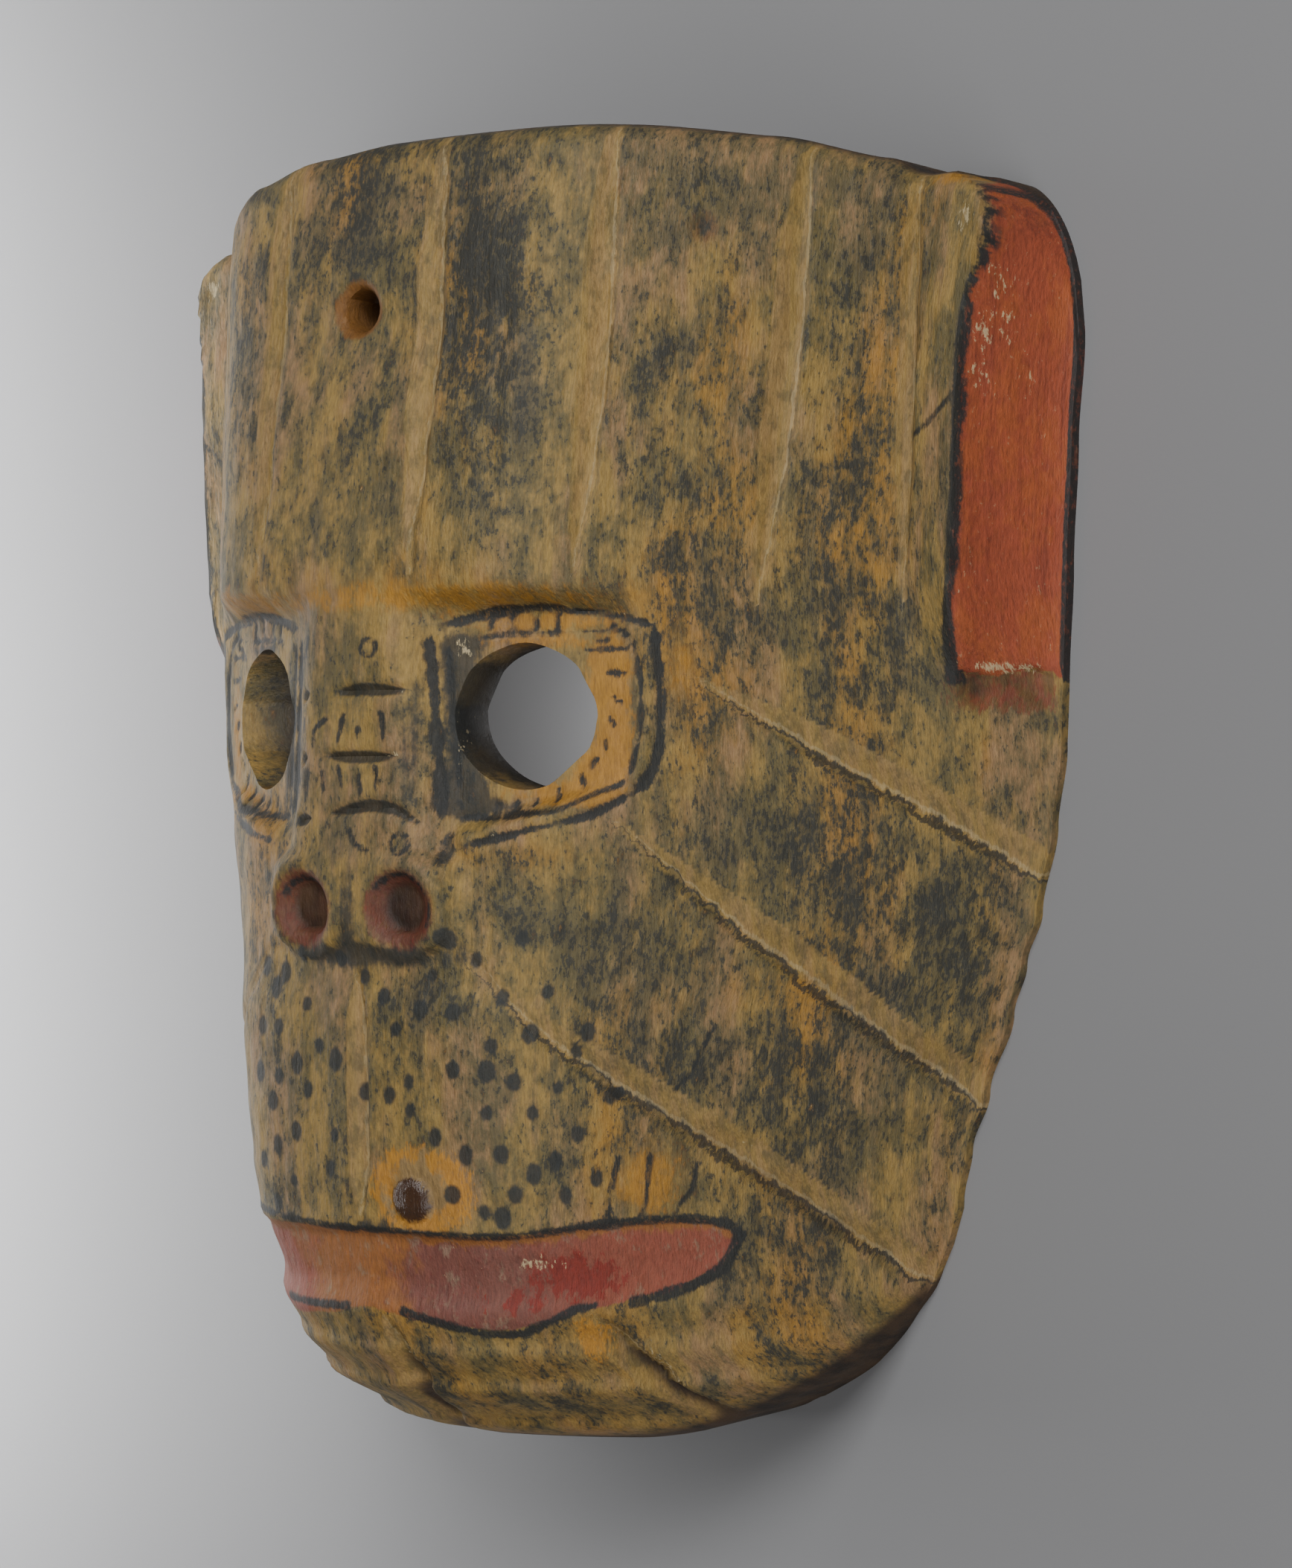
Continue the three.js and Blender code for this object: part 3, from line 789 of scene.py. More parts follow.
def nostril_cut(x, y):
    """The bowls of the nostrils, each with a raised lip."""
    radius = NOSTRIL_DIAMETER / 2
    cut = np.zeros(x.shape)
    for nostril_x, nostril_y in NOSTRILS:
        reach = np.hypot(x - nostril_x, (y - nostril_y) / NOSTRIL_TALL)
        cut += NOSTRIL_DEPTH * (1 - smooth(reach, radius - NOSTRIL_SLOPE, radius + 0.2))
        cut -= NOSTRIL_LIP * np.exp(-((reach - radius - 1.2) / 1.1) ** 2)
    return cut


def mark_cut(x, y):
    """The knot, which stands up in a dent of its own, the nail mark and the worn mouth of the cord hole."""
    from_knot = np.hypot(x - KNOT[0], y - KNOT[1])
    cut = 0.6 * np.exp(-((from_knot - 5) / 1) ** 2)
    cut -= KNOT_HEIGHT * np.sqrt(np.clip(1 - from_knot / KNOT_RADIUS, 0, 1))
    from_nail = np.hypot(x - NAIL_MARK[0], (y - NAIL_MARK[1]) / NAIL_TALL)
    cut += NAIL_DEPTH * np.exp(-(from_nail / 1.3) ** 2)
    from_cord = np.hypot(x - CORD_HOLE[0], y - CORD_HOLE[1])
    return cut + CORD_MOUTH_DEPTH * np.clip((CORD_MOUTH_RADIUS - from_cord) / CORD_MOUTH_SLOPE, 0, 1) ** 1.3


def damage_cut(place):
    """The broken feet of the ears, scars, and long tool marks on the near ear."""
    x, y = place.x, place.y
    past_crest = smooth(np.abs(x) - crest_out(y), -1, 2)
    below_break = ear_foot(place) - y
    broken = smooth(below_break, -0.8, 0.6) * (1 - smooth(below_break, 3, 9))
    cut = past_crest * broken * (1.3 + 0.6 * grain(5, x, y, 2, 2.2))
    cut += np.clip(scars(place), 0, 1) * (0.35 + 0.5 * grain(6, ear_spread(place), y, 1.4, 4))
    return cut + 0.3 * smooth(ear_red(place), -1, 3) * (x > 0) * grain(7, x, y, 2.5, 18)


def from_outline(place):
    """Distance from the outline, along the level or across it."""
    share = place.x / outline_half(place.y)
    aside = outline_half(place.y) - np.abs(place.x)
    return np.minimum(aside, np.minimum(place.y - lower_edge(share), upper_edge(share) - place.y))


# Cuts are shallower beside the outline: over which distance, and what is left of a gouge there.
GOUGE_FADE, GOUGE_LEFT = [0, 9], 0.1
ROUGH_FADE = [1, 8]
NOSE_CUT_DEPTH, EYE_LINE_DEPTH = 1.3, 0.4
# Where the lines round the eyes are cut in: distance from the middle, then levels.
EYE_AREA = [15, 58, -13, 35]


def relief(place):
    """How far the surface is cut in along its normal, in millimetres."""
    x, y = place.x, place.y
    edge = from_outline(place)
    cut = gouges(place)[0] * (GOUGE_LEFT + (1 - GOUGE_LEFT) * smooth(edge, *GOUGE_FADE))
    cut += NOSE_CUT_DEPTH * smooth(nose_cuts(place), -0.5, 0.9)
    inner, outer, bottom, top = EYE_AREA
    on_eyes = (np.abs(x) < outer) * (np.abs(x) > inner) * (y > bottom) * (y < top)
    cut += EYE_LINE_DEPTH * smooth(painted_lines(place), -0.6, 0.5) * on_eyes
    cut += nostril_cut(x, y) + mark_cut(x, y) + damage_cut(place)
    rough = 0.18 * grain(1, place.across, y, 5, 22)
    rough += 0.12 * grain(2, place.across, y, 2.2, 9)
    rough += 0.08 * grain(4, place.across, y, 1.2, 3)
    return cut + rough * smooth(edge, *ROUGH_FADE)


# Meshes

def steps(first, spans):
    """Numbers from the first place to the last, with the step that each span names."""
    numbers = [first]
    for end, step in spans:
        start = numbers[-1]
        count = max(round(abs(end - start) / step), 1)
        numbers += [start + (end - start) * i / count for i in range(1, count + 1)]
    return np.array(numbers)


def to_mask(x, y, z):
    """Places on the block, moved to the mask's own size in metres."""
    return np.stack([x * SCALE[0], (y - BLOCK_MIDDLE) * SCALE[1], z * SCALE[2]], -1) * MM


def mesh_object(name, points, faces):
    mesh = bpy.data.meshes.new(name)
    mesh.from_pydata(points.tolist(), [], faces)
    mesh.update()
    made = bpy.data.objects.new(name, mesh)
    bpy.context.collection.objects.link(made)
    return made


def block_under(name, grid, floor, rings):
    """A closed block under a grid of points, with its sides in rings down to a level floor."""
    rows, across = grid.shape[:2]
    edge = [i for i in range(across)]
    edge += [j * across + across - 1 for j in range(1, rows)]
    edge += [(rows - 1) * across + i for i in range(across - 2, -1, -1)]
    edge += [j * across for j in range(rows - 2, 0, -1)]
    points = [grid.reshape(-1, 3)]
    loops = [edge]
    rim = points[0][edge]
    for ring in range(1, rings + 1):
        level = rim.copy()
        level[:, 2] += (floor - level[:, 2]) * ring / rings
        start = sum(len(p) for p in points)
        points.append(level)
        loops.append(list(range(start, start + len(edge))))
    centre = sum(len(p) for p in points)
    points.append(np.array([[0, 0, floor]]))
    faces = []
    for j in range(rows - 1):
        a = j * across
        b = a + across
        faces += [(a + i, a + i + 1, b + i + 1, b + i) for i in range(across - 1)]
    for above, below in zip(loops, loops[1:]):
        for a, b, c, d in zip(above, below, below[1:] + below[:1], above[1:] + above[:1]):
            faces.append((a, b, c, d))
    last = loops[-1]
    faces += [(centre, b, a) for a, b in zip(last, last[1:] + last[:1])]
    return mesh_object(name, np.concatenate(points), faces)


# Across and along the face: where each span of the grid ends, and its step.
STEPS_ACROSS = [[20, 0.8], [40, 0.9], [86, 0.66], [98, 0.85], [BLOCK_WIDTH / 2, 0.95]]
STEPS_ALONG = [[-112, 1.05], [-82, 1.0], [-38, 1.1], [38, 0.9], [118, 1.2], [126.5, 1]]
RIM_BLEND, CALM_ABOVE_RIM = 0.8, 3


def face_grid():
    """The front of the mask as a grid of points, with the relief cut in along the surface's normals."""
    half = steps(0, STEPS_ACROSS)
    s = np.concatenate([-half[:0:-1], half]) * 2 / BLOCK_WIDTH
    levels = steps(BLOCK_CHIN, STEPS_ALONG)
    v = (levels - levels[0]) / (levels[-1] - levels[0])
    s, v = np.meshgrid(s, v)
    low, high = lower_edge(s), upper_edge(s)
    y = low + (high - low) * v
    x = s * outline_half(y)
    z = face_height(x, y) - rounded(high - y, TOP_ROUND) - rounded(y - low, CHIN_ROUND)
    z = upper(z, RIM_EDGE, RIM_BLEND)
    grid = np.stack([x, y, z], -1)
    out = np.cross(np.gradient(grid, axis=1), np.gradient(grid, axis=0))
    out /= np.linalg.norm(out, axis=-1, keepdims=True)
    inner = smooth(z, RIM_EDGE, RIM_EDGE + CALM_ABOVE_RIM)
    grid -= out * (relief(Place(x, y)) * inner)[..., None]
    return to_mask(grid[..., 0], grid[..., 1], np.maximum(grid[..., 2], RIM_EDGE))


BOWL_SIDE, BOWL_ENDS, BOWL_END_ROUND = 1.6, 6, 1 / 3
BOWL_LINES = 71
BOWL_CALM = [2, 12]


def hollow_grid():
    """The bowl of the hollow as a grid of points, with tool marks."""
    s, v = np.meshgrid(np.linspace(-1, 1, BOWL_LINES), np.linspace(0, 1, BOWL_LINES))
    low = lower_edge(s) + CHIN_WALL / SCALE[1]
    high = upper_edge(s) - TOP_WALL / SCALE[1]
    y = low + (high - low) * v
    x = s * (outline_half(y) - RIM_WIDTH / SCALE[0])
    roof = BLOCK_DEPTH - face_back(y) - FACE_WALL / SCALE[2]
    ends = (1 - np.abs(2 * v - 1) ** BOWL_ENDS) ** BOWL_END_ROUND
    z = roof * (1 - np.abs(s) ** BOWL_SIDE) * ends
    tool_marks = 0.7 * grain(21, x, y, 9, 14) + 0.5 * grain(22, x, y, 5, 8) - 0.6
    return to_mask(x, y, z + tool_marks * smooth(z, *BOWL_CALM))


HOLE_SIDES, HOLE_ROUGHNESS, HOLE_WAVES = 72, 0.012, 8


def hole_cutter(name, x, y, wide, tall, flats=()):
    """A rough upright hole. Flats are directions in degrees, each with the share of its radius left."""
    turn = np.linspace(0, 2 * math.pi, HOLE_SIDES, endpoint=False)
    reach = 1 + HOLE_ROUGHNESS * waver(31, turn * HOLE_WAVES / math.pi, 1)
    for direction, share in flats:
        toward = np.cos(turn - math.radians(direction))
        reach = np.where(toward > 0.1, np.minimum(reach, share / np.maximum(toward, 0.1)), reach)
    ring_x, ring_y = x + wide / 2 * reach * np.cos(turn), y + tall / 2 * reach * np.sin(turn)
    count = HOLE_SIDES
    ends = [to_mask(ring_x, ring_y, np.full(count, level)) for level in (1.0, 2.0 * BLOCK_DEPTH)]
    faces = [(i, (i + 1) % count, count + (i + 1) % count, count + i) for i in range(count)]
    faces += [tuple(range(count - 1, -1, -1)), tuple(range(count, 2 * count))]
    return mesh_object(name, np.concatenate(ends), faces)


def cut_from(target, cutter):
    """Cut one mesh out of another, and remove the cutter."""
    change = target.modifiers.new("cut", "BOOLEAN")
    change.operation = "DIFFERENCE"
    change.solver = "MANIFOLD"
    change.object = cutter
    seen = target.evaluated_get(bpy.context.evaluated_depsgraph_get())
    cut = bpy.data.meshes.new_from_object(seen)
    target.modifiers.clear()
    old = target.data
    target.data = cut
    bpy.data.meshes.remove(old)
    bpy.data.objects.remove(cutter)


# Flats on the near eye hole's rim: direction, and share of the radius left. The far eye mirrors them.
EYE_FLATS = [(-48, 0.93), (158, 0.96), (28, 0.975)]
SIDE_RINGS = 6
HOLLOW_START = -5
SHARP_EDGE = math.radians(48)


def mesh_points(mesh):
    points = np.empty(len(mesh.vertices) * 3)
    mesh.vertices.foreach_get("co", points)
    return points.reshape(-1, 3)


def carve_mask():
    mask = block_under("carved_mask", face_grid(), 0, SIDE_RINGS)
    cut_from(mask, block_under("hollow", hollow_grid(), HOLLOW_START * MM, 1))
    for side in (1, -1):
        flats = [(angle if side > 0 else 180 - angle, share) for angle, share in EYE_FLATS]
        cutter = hole_cutter("eye", side * EYE_X, EYE_Y, EYE_HOLE_WIDTH, EYE_HOLE_HEIGHT, flats)
        cut_from(mask, cutter)
    cut_from(mask, hole_cutter("cord", *CORD_HOLE, CORD_HOLE_DIAMETER, CORD_HOLE_DIAMETER))
    mesh = mask.data
    points = mesh_points(mesh).clip(np.array(low_corner), np.array(high_corner))
    mesh.vertices.foreach_set("co", points.ravel())
    mesh.update()
    mesh.polygons.foreach_set("use_smooth", np.ones(len(mesh.polygons), bool))
    mesh.set_sharp_from_angle(angle=SHARP_EDGE)
    return mask


# Depths under the face where the paint has ended and where it is whole, and the same beside the outline.
PAINT_UNDER_FACE, PAINT_BESIDE = [-4.5, -2.5], [-2.2, -1.2]
# Painted shade: inside the mask, within this radius of each eye hole and above these heights, the wood is
# darkened.
EYE_SHADE_RADIUS, EYE_SHADE_HEIGHTS = 17, [25, 60]
CORD_PAINT_RADIUS = 6.0
NAIL_PAINT_RADIUS, NAIL_PAINT_TALL = 1.7, 1.7
# Heights count for less than places in the noises of the paint.
HEIGHT_SHARE = 0.5


def paint_mask(mask):
    """Keep what the paint needs at each point of the mesh: distances inside shapes, and strengths."""
    mesh = mask.data
    points = mesh_points(mesh) / MM / SCALE
    x, y, z = points[:, 0], points[:, 1] + BLOCK_MIDDLE, points[:, 2]
    place = Place(x, y)
    out = np.abs(x)
    on_face = smooth(z - face_height(x, y), *PAINT_UNDER_FACE)
    _, bare, wall, wall_size, upright = gouges(place)
    from_nostrils = [np.hypot(x - nostril_x, y - nostril_y) for nostril_x, nostril_y in NOSTRILS]
    # How near a point lies to an eye hole, for the painted shade inside it.
    in_eye_shade = smooth(EYE_SHADE_RADIUS - np.hypot(out - EYE_X, y - EYE_Y), 0, 3)
    from_nail = np.hypot(x - NAIL_MARK[0], (y - NAIL_MARK[1]) / NAIL_PAINT_TALL)
    numbers = {
        "outside": np.maximum(on_face, smooth(out - outline_half(y), *PAINT_BESIDE)),
        "black": painted_lines(place),
        "dots": dots(place),
        "cuts": nose_cuts(place),
        "bare": bare,
        "wall": wall,
        "wall_size": wall_size,
        "upright": upright,
        "ear": ear_red(place),
        "stump": ear_stump(place),
        "lips": lips(place),
        "lip_red": patches(place, RED_PATCHES),
        "lip_side": x,
        "lip_level": upper_lip(out) - y,
        "patch": patches(place, ORANGE_PATCHES),
        "stain": clouds(place.across, y, STAINS),
        "yellow": clouds(place.across, y, YELLOWS),
        "ochre": clouds(place.across, y, OCHRES),
        # dark washes, partly painted shadow under the nose tip and the upper lip
        "wash_and_shadow": clouds(place.across, y, WASHES_AND_SHADOWS),
        "scar": scars(place),
        "nostril": NOSTRIL_DIAMETER / 2 - np.minimum(*from_nostrils),
        # painted shade inside the mask round the eye holes
        "eye_hole_painted_shade": in_eye_shade * smooth(z, *EYE_SHADE_HEIGHTS),
        "cord": CORD_PAINT_RADIUS - np.hypot(x - CORD_HOLE[0], y - CORD_HOLE[1]),
        "knot": KNOT_RADIUS - np.hypot(x - KNOT[0], y - KNOT[1]),
        "nail": NAIL_PAINT_RADIUS - from_nail,
    }
    for name, values in numbers.items():
        layer = mesh.attributes.new(name, "FLOAT", "POINT")
        layer.data.foreach_set("value", values.astype(np.float32))
    unrolled = mesh.attributes.new("unrolled", "FLOAT_VECTOR", "POINT")
    laid_out = np.stack([place.across, y, z * HEIGHT_SHARE], -1) * MM
    unrolled.data.foreach_set("vector", laid_out.astype(np.float32).ravel())


# Materials

def linear(red, green, blue):
    """A colour given in the usual 0 to 255, made linear."""
    def channel(value):
        value = value / 255
        return value / 12.92 if value <= 0.04045 else ((value + 0.055) / 1.055) ** 2.4

    return (channel(red), channel(green), channel(blue), 1)


class Nodes:
    """Short names for the shader nodes that the materials use."""

    def __init__(self, name):
        self.material = bpy.data.materials.new(name)
        self.material.use_nodes = True
        self.tree = self.material.node_tree
        self.shader = self.tree.nodes["Principled BSDF"]

    def join(self, value, socket):
        if isinstance(value, bpy.types.NodeSocket):
            self.tree.links.new(value, socket)
        else:
            socket.default_value = value

    def attribute(self, name):
        node = self.tree.nodes.new("ShaderNodeAttribute")
        node.attribute_name = name
        return node.outputs["Vector"] if name == "unrolled" else node.outputs["Fac"]

    def place(self):
        return self.tree.nodes.new("ShaderNodeTexCoord").outputs["Object"]

    def stretch(self, vector, x, y, z):
        node = self.tree.nodes.new("ShaderNodeMapping")
        self.join(vector, node.inputs["Vector"])
        node.inputs["Scale"].default_value = (x, y, z)
        return node.outputs["Vector"]

    def noise(self, vector, scale, detail, roughness=0.55):
        node = self.tree.nodes.new("ShaderNodeTexNoise")
        self.join(vector, node.inputs["Vector"])
        node.inputs["Scale"].default_value = scale
        node.inputs["Detail"].default_value = detail
        node.inputs["Roughness"].default_value = roughness
        return node.outputs["Fac"]

    def math(self, operation, *values):
        node = self.tree.nodes.new("ShaderNodeMath")
        node.operation = operation
        for value, socket in zip(values, node.inputs):
            self.join(value, socket)
        return node.outputs["Value"]

    def step(self, value, start, end):
        """0 before start, 1 past end, smooth between."""
        node = self.tree.nodes.new("ShaderNodeMapRange")
        node.interpolation_type = "SMOOTHSTEP"
        self.join(value, node.inputs["Value"])
        self.join(start, node.inputs["From Min"])
        self.join(end, node.inputs["From Max"])
        return node.outputs["Result"]

    def mix(self, share, a, b):
        node = self.tree.nodes.new("ShaderNodeMix")
        node.data_type = "RGBA"
        self.join(share, node.inputs["Factor"])
        self.join(a, node.inputs[6])
        self.join(b, node.inputs[7])
        return node.outputs[2]

    def multiply(self, colour, shade):
        node = self.tree.nodes.new("ShaderNodeVectorMath")
        node.operation = "SCALE"
        self.join(colour, node.inputs[0])
        self.join(shade, node.inputs["Scale"])
        return node.outputs["Vector"]

    def bump(self, height, strength, distance, normal=None):
        node = self.tree.nodes.new("ShaderNodeBump")
        node.inputs["Strength"].default_value = strength
        node.inputs["Distance"].default_value = distance
        self.join(height, node.inputs["Height"])
        if normal is not None:
            self.join(normal, node.inputs["Normal"])
        return node.outputs["Normal"]

    def finish(self, colour, roughness, normal):
        self.join(colour, self.shader.inputs["Base Color"])
        self.join(roughness, self.shader.inputs["Roughness"])
        self.join(normal, self.shader.inputs["Normal"])
        return self.material


TAN = linear(148, 120, 62)
PINK_TAN = linear(146, 114, 76)
PALE = linear(190, 172, 132)
YELLOW = linear(156, 112, 36)
GREEN_GREY = linear(80, 75, 48)
STAIN = linear(36, 39, 38)
BLACK = linear(32, 34, 33)
BROWN = linear(100, 70, 38)
GROOVE = linear(150, 120, 74)
CORD_BROWN = linear(120, 78, 28)
RED = linear(150, 66, 40)
ORANGE_RED = linear(160, 78, 38)
DARK_RED = linear(108, 40, 28)
LIP_PINK = linear(138, 70, 52)
LIP_PURPLE = linear(114, 66, 56)
LIP_TAN = linear(142, 88, 42)
LIP_GREY = linear(140, 122, 98)
BRIGHT_RED = linear(122, 36, 24)
NOSTRIL = linear(96, 50, 38)
ORANGE = linear(180, 122, 28)
OCHRE = linear(168, 118, 34)
RESIN = linear(50, 26, 18)
INNER = linear(70, 51, 31)
INNER_DARK = linear(36, 26, 17)
# Painted shade for the inside round the eye holes.
HOLE_PAINTED_SHADE = linear(24, 18, 13)


# Noises of the paint: scale across and along, spots in a metre, detail and roughness.
NOISES = {
    "fibre": (1, 0.16, 2400, 2, 0.6),
    "speck": (1, 0.5, 1150, 4, 0.7),
    "mottle": (1, 0.55, 360, 4, 0.7),
    "blotch": (1, 0.6, 110, 4, 0.65),
    "cloud": (1, 0.4, 32, 3, 0.55),
    "streak": (1, 0.05, 420, 3, 0.6),
    "tint": (1.3, 0.6, 48, 3, 0.55),
}
ROUGHNESS, ROUGHNESS_SPREAD, RESIN_SHINE = 0.5, 0.3, 0.5


class PaintedWood(Nodes):
    """The material of the mask. Noises are named, and each counts from its middle, one half."""

    def __init__(self):
        super().__init__("painted_wood")
        flat = self.attribute("unrolled")
        self.noises = {}
        for name, (across, along, *texture) in NOISES.items():
            self.noises[name] = self.noise(self.stretch(flat, across, along, 1), *texture)
        self.fray = self.lean(0.0, speck=1.6, fibre=0.8)

    def lean(self, base, **weights):
        """A value made uneven by noises, each with its weight."""
        for name, weight in weights.items():
            base = self.math("SUBTRACT", base, weight / 2)
            base = self.math("MULTIPLY_ADD", self.noises[name], weight, base)
        return base

    def on_noise(self, name, start, end):
        return self.step(self.noises[name], start, end)

    def frayed(self, name, reach):
        """The distance inside a shape, with a frayed edge."""
        return self.math("MULTIPLY_ADD", self.fray, reach, self.attribute(name))

    def scaled(self, name, weight, plus=0.0):
        return self.math("MULTIPLY_ADD", self.attribute(name), weight, plus)

    def lay(self, under, paint, share, cover):
        """Lay paint over what is under it, by a share and how well it covers."""
        return self.mix(self.math("MULTIPLY", share, cover), under, paint)

    def lay_shape(self, under, paint, name, cover, soft, reach):
        return self.lay(under, paint, self.step(self.frayed(name, reach), -soft, soft), cover)

    def ground(self):
        """Wood under a worn ground, olive haze, slate stain in dense upright specks, dark washes, some of
        them painted shadow, and ochre.
        """
        pinkish = self.lean(0.0, tint=1, streak=0.3)
        colour = self.mix(self.step(pinkish, -0.05, 0.12), TAN, PINK_TAN)
        yellow = self.lean(self.scaled("yellow", 0.35), cloud=1, mottle=0.4)
        colour = self.lay(colour, YELLOW, self.step(yellow, -0.02, 0.2), 0.85)
        haze = self.lean(self.scaled("stain", 0.5, -0.01), blotch=1, mottle=0.6, speck=0.5, streak=0.35)
        colour = self.lay(colour, GREEN_GREY, self.step(haze, -0.2, 0.15), 0.84)
        cloudy = self.lean(self.scaled("stain", 0.6, -0.048), mottle=1, blotch=0.9, cloud=0.6)
        colour = self.lay(colour, STAIN, self.step(cloudy, -0.02, 0.4), 0.6)
        dark = self.lean(self.math("MULTIPLY", cloudy, 0.9), speck=1.9)
        colour = self.lay(colour, STAIN, self.step(dark, 0.1, 0.26), 0.75)
        # Dark washes, partly painted shadow under the nose tip and the upper lip.
        wash_and_shadow = self.lean(self.scaled("wash_and_shadow", 0.6), mottle=0.8, streak=0.5)
        colour = self.lay(colour, STAIN, self.step(wash_and_shadow, 0.14, 0.5), 0.85)
        ochre = self.lean(self.scaled("ochre", 0.7), mottle=1.2, speck=0.8)
        return self.lay(colour, OCHRE, self.step(ochre, 0.2, 0.6), 0.75)

    def gouged(self, colour):
        """Gouges show bare wood, with painted shade along one steep wall and a line of painted highlight,
        partly pale chips, beside it.
        """
        groove = self.mix(self.on_noise("streak", 0.35, 0.62), GROOVE, TAN)
        groove = self.lay(groove, GREEN_GREY, self.on_noise("mottle", 0.45, 0.62), 0.5)
        bare = self.lean(self.attribute("bare"), mottle=0.8)
        colour = self.lay(colour, groove, self.step(bare, 0.3, 0.75), 0.75)
        wall, half_size = self.attribute("wall"), self.scaled("wall_size", 0.5)
        off = self.math("ABSOLUTE", self.lean(wall, mottle=4.5, blotch=4.5))
        # Painted shade: a dark line along the gouge's steep wall, weaker on upright furrows.
        edge = self.step(self.math("SUBTRACT", half_size, off), -0.15, 0.2)
        colour = self.lay(colour, STAIN, edge, self.scaled("upright", -0.5, 0.8))
        # Painted highlight, partly pale chips: a pale line beside the steep wall.
        off = self.math("ABSOLUTE", self.lean(self.math("ADD", wall, 1.0), mottle=3))
        ridge_highlight_and_chips = self.lean(self.math("SUBTRACT", half_size, off), speck=1.2)
        colour = self.lay(colour, PALE, self.step(ridge_highlight_and_chips, -0.15, 0.3), 0.26)
        cord = self.lean(self.attribute("cord"), mottle=3)
        return self.lay(colour, CORD_BROWN, self.step(cord, -0.3, 0.8), 0.9)

    def patched(self, colour):
        """Orange patches, and the worn red of the ears with their broken feet."""
        worn = self.step(self.lean(self.attribute("patch"), mottle=14, blotch=16), 2, 4.5)
        colour = self.lay_shape(colour, self.mix(worn, ORANGE, GROOVE), "patch", 0.68, 0.9, 5)
        red = self.mix(self.step(self.lean(0.0, blotch=1, mottle=0.5), -0.1, 0.14), RED, ORANGE_RED)
        red = self.lay(red, DARK_RED, self.on_noise("streak", 0.52, 0.72), 0.5)
        red = self.lay(red, PALE, self.on_noise("speck", 0.62, 0.72), 0.35)
        colour = self.lay_shape(colour, red, "ear", 0.95, 0.3, 0.6)
        faded = self.mix(self.on_noise("mottle", 0.4, 0.6), DARK_RED, BROWN)
        return self.lay_shape(colour, faded, "stump", 0.8, 0.8, 3)

    def lipped(self, colour):
        """Lips from tan to purple to pink across the mouth, tan along their upper line, and bright red."""
        side = self.lean(self.attribute("lip_side"), blotch=30, mottle=14)
        lip = self.mix(self.step(side, 4, 12), LIP_TAN, LIP_PURPLE)
        lip = self.mix(self.step(side, 30, 42), lip, LIP_PINK)
        lip = self.mix(self.step(side, -12, -24), lip, LIP_PINK)
        below_line = self.lean(self.attribute("lip_level"), mottle=6)
        lip = self.mix(self.step(below_line, 2.6, 1.4), lip, LIP_TAN)
        lip = self.lay(lip, LIP_GREY, self.on_noise("mottle", 0.54, 0.68), 0.5)
        lip = self.lay(lip, DARK_RED, self.on_noise("speck", 0.56, 0.72), 0.45)
        colour = self.lay_shape(colour, lip, "lips", 0.95, 0.3, 0.8)
        red = self.lean(self.frayed("lip_red", 2), mottle=14, blotch=8)
        return self.lay(colour, BRIGHT_RED, self.step(red, -0.2, 1.2), 0.85)

    def nosed(self, colour):
        """The bowls of the nostrils, the cuts across the nose and the nail mark."""
        bowl = self.mix(self.on_noise("mottle", 0.45, 0.7), NOSTRIL, DARK_RED)
        bowl = self.lay(bowl, BROWN, self.on_noise("speck", 0.5, 0.65), 0.5)
        colour = self.lay_shape(colour, bowl, "nostril", 0.9, 0.9, 2)
        colour = self.lay_shape(colour, STAIN, "cuts", 0.85, 0.3, 0.5)
        nail = self.mix(self.on_noise("mottle", 0.4, 0.6), BROWN, STAIN)
        return self.lay_shape(colour, nail, "nail", 0.85, 0.8, 1.6)

    def lined(self, colour):
        """Dots, then black lines that are thin where they are worn, then scars through both."""
        colour = self.lay(colour, STAIN, self.step(self.frayed("dots", 0.5), -0.35, 0.4), 0.92)
        black = self.step(self.lean(self.frayed("black", 0.9), mottle=1.2), -0.25, 0.4)
        whole = self.step(self.lean(0.0, speck=1, mottle=0.8, streak=0.5), 0.2, 0.02)
        colour = self.lay(colour, BLACK, black, self.math("MULTIPLY_ADD", whole, 0.3, 0.67))
        scar = self.lean(self.scaled("scar", 0.5), speck=1.2, fibre=0.5, mottle=0.6)
        return self.lay(colour, PALE, self.step(scar, 0.36, 0.5), 0.75)

    def made(self):
        """Put the layers together. Holes and the hollow are bare wood in a dark, blotchy brown, with
        painted shade round the eye holes, and the knot shines.
        """
        colour = self.lipped(self.patched(self.gouged(self.ground())))
        colour = self.lined(self.nosed(colour))
        resin = self.step(self.frayed("knot", 1.5), -0.3, 0.6)
        colour = self.lay(colour, RESIN, resin, 0.92)
        shade = self.math("MULTIPLY_ADD", self.lean(0.0, fibre=1, speck=0.4), 1.1, 1.0)
        colour = self.multiply(colour, shade)
        inner = self.mix(self.on_noise("blotch", 0.35, 0.65), INNER, INNER_DARK)
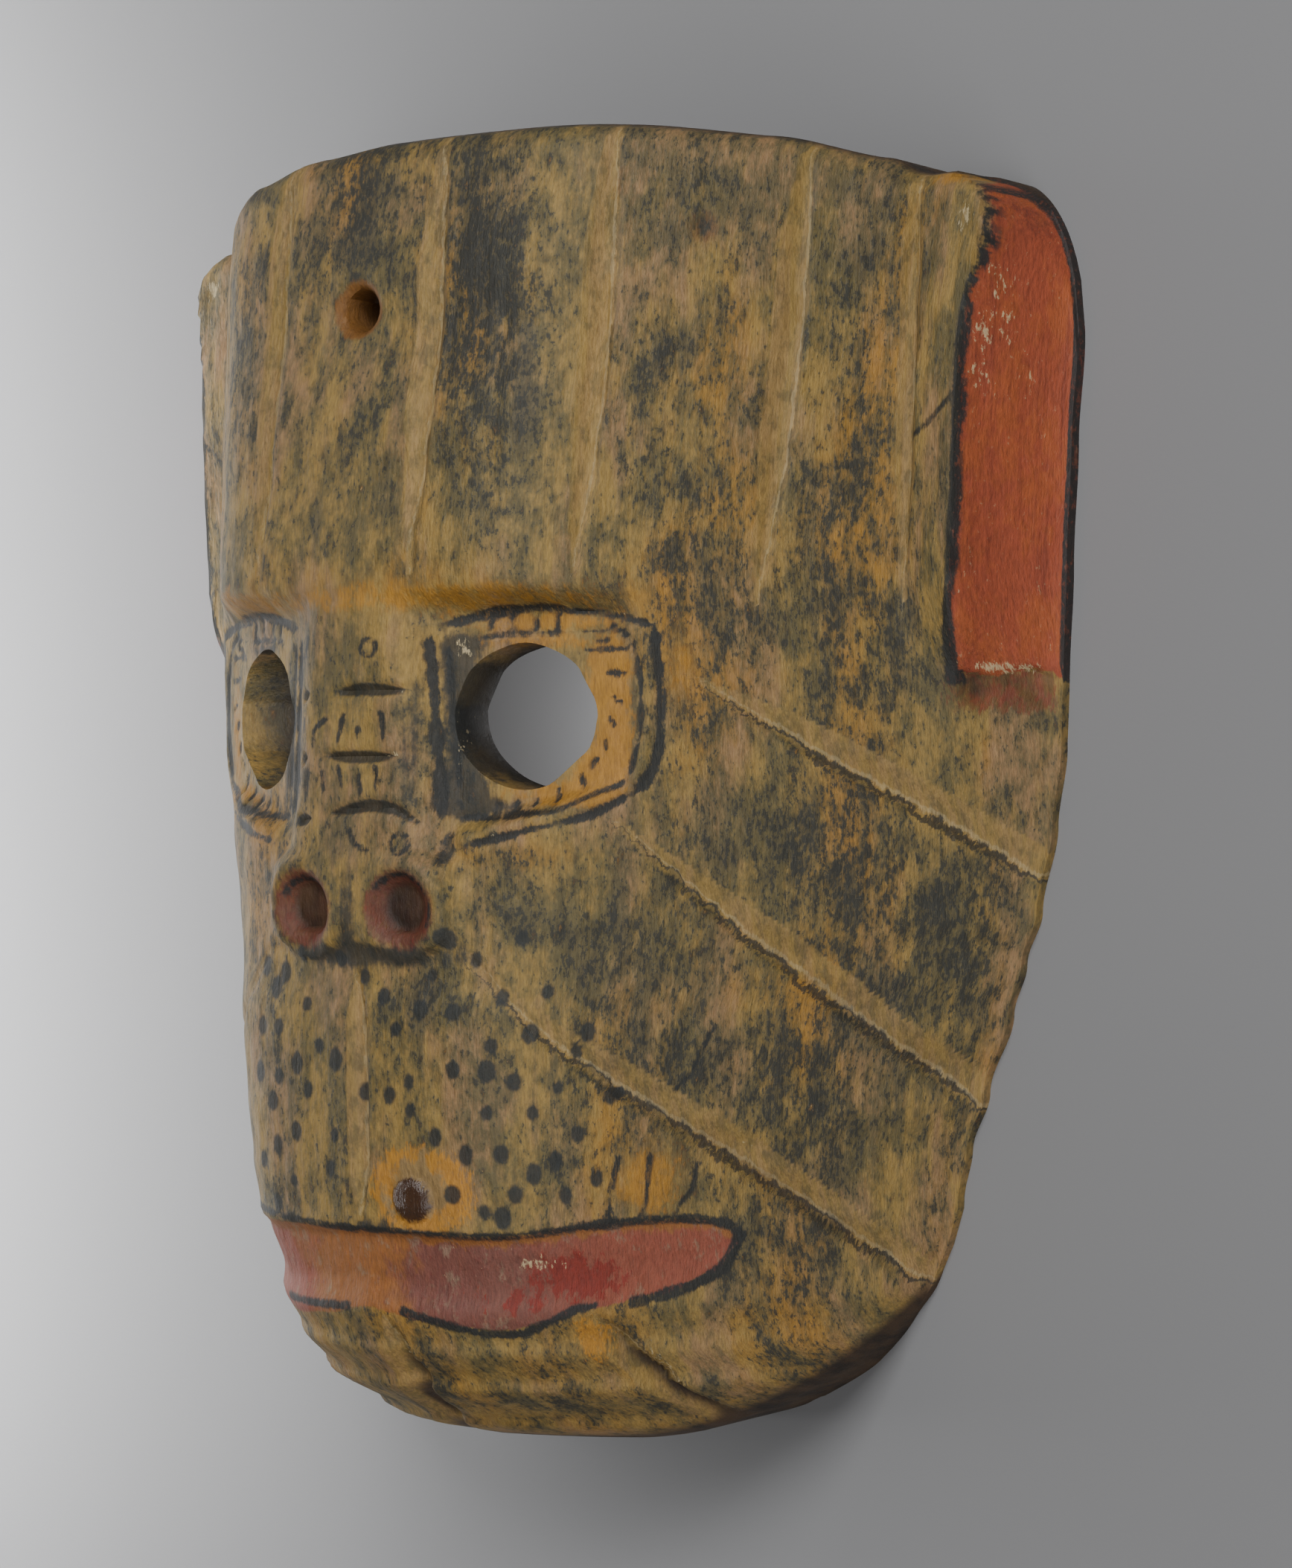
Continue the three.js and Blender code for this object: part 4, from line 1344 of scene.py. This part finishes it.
        # Painted shade darkens the inside round the eye holes.
        inner = self.mix(self.attribute("eye_hole_painted_shade"), inner, HOLE_PAINTED_SHADE)
        colour = self.mix(self.attribute("outside"), inner, colour)
        mottle, streak, fibre = (self.noises[name] for name in ("mottle", "streak", "fibre"))
        roughness = self.math("MULTIPLY_ADD", mottle, ROUGHNESS_SPREAD, ROUGHNESS)
        roughness = self.math("MULTIPLY_ADD", resin, -RESIN_SHINE, roughness)
        wood_grain = self.math("MULTIPLY_ADD", streak, 0.6, self.math("MULTIPLY", fibre, 0.4))
        normal = self.bump(wood_grain, 0.55, 0.0007)
        normal = self.bump(self.noises["speck"], 0.45, 0.0005, normal)
        normal = self.bump(mottle, 0.3, 0.001, normal)
        return self.finish(colour, roughness, normal)


FLOOR_GREY, FLOOR_LIGHT = linear(129, 129, 130), linear(134, 134, 135)


def floor_material():
    n = Nodes("pale_floor")
    tone = n.mix(n.noise(n.place(), 6, 3), FLOOR_GREY, FLOOR_LIGHT)
    return n.finish(tone, 0.9, n.bump(n.noise(n.place(), 900, 2), 0.05, 0.0005))


# The camera looks down on the lying mask, turned towards its left ear, from where the photograph was taken.
VIEW_TURN = math.radians(35)
VIEW_DISTANCE = 0.730
VIEW_ASIDE = 0.058
LENS_MM = 87.0

view_forward = Vector((-math.sin(VIEW_TURN), 0, -math.cos(VIEW_TURN)))
view_right = Vector((math.cos(VIEW_TURN), 0, -math.sin(VIEW_TURN)))
view_up = Vector((0, 1, 0))
nose_front = Vector((0, -BLOCK_MIDDLE * MM * SCALE[1], high_corner.z))


def from_nose(across, up, toward):
    """A place beside the front of the nose, by the camera's own directions."""
    return nose_front + across * view_right + up * view_up - toward * view_forward


def add_camera():
    camera = bpy.data.objects.new("camera", bpy.data.cameras.new("camera"))
    camera.data.lens = LENS_MM
    camera.data.sensor_width = 36
    camera.data.clip_start = 0.01
    turn = Matrix((view_right, view_up, -view_forward)).transposed().to_4x4()
    camera.matrix_world = Matrix.Translation(from_nose(VIEW_ASIDE, 0, VIEW_DISTANCE)) @ turn
    bpy.context.collection.objects.link(camera)
    bpy.context.scene.camera = camera


def add_light(name, location, size, watts, target=nose_front):
    """A soft square light that shines on a target."""
    light = bpy.data.objects.new(name, bpy.data.lights.new(name, "AREA"))
    light.data.size = size
    light.data.energy = watts
    light.location = location
    light.rotation_euler = (target - light.location).to_track_quat("-Z", "Y").to_euler()
    bpy.context.collection.objects.link(light)


SKY_COLOUR, SKY_STRENGTH = (0.8, 0.8, 0.82, 1), 0.22


def add_studio():
    """A pale floor and soft lights. The small one in the hollow shows the floor through the eye."""
    bpy.ops.mesh.primitive_plane_add(size=4)
    floor = bpy.context.object
    floor.name = "floor"
    floor.data.materials.append(floor_material())
    world = bpy.data.worlds.new("studio")
    world.use_nodes = True
    world.node_tree.nodes["Background"].inputs["Color"].default_value = SKY_COLOUR
    world.node_tree.nodes["Background"].inputs["Strength"].default_value = SKY_STRENGTH
    bpy.context.scene.world = world
    add_light("key", from_nose(-0.22, 0.55, 0.95), 0.5, 10)
    add_light("fill", from_nose(0.45, -0.6, 1.0), 1.0, 6.5)
    add_light("floor_glow", from_nose(-0.357, 0, -0.223), 0.4, 7, Vector((-0.42, 0, 0)))
    in_hollow, on_floor = Vector((0.045, EYE_Y * MM, 0.042)), Vector((-0.03, EYE_Y * MM, 0))
    add_light("hollow_light", in_hollow, 0.02, 0.09, on_floor)


add_camera()
mask = carve_mask()
paint_mask(mask)
mask.data.materials.clear()
mask.data.materials.append(PaintedWood().made())
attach(mask, "root")
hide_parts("mask")
add_studio()
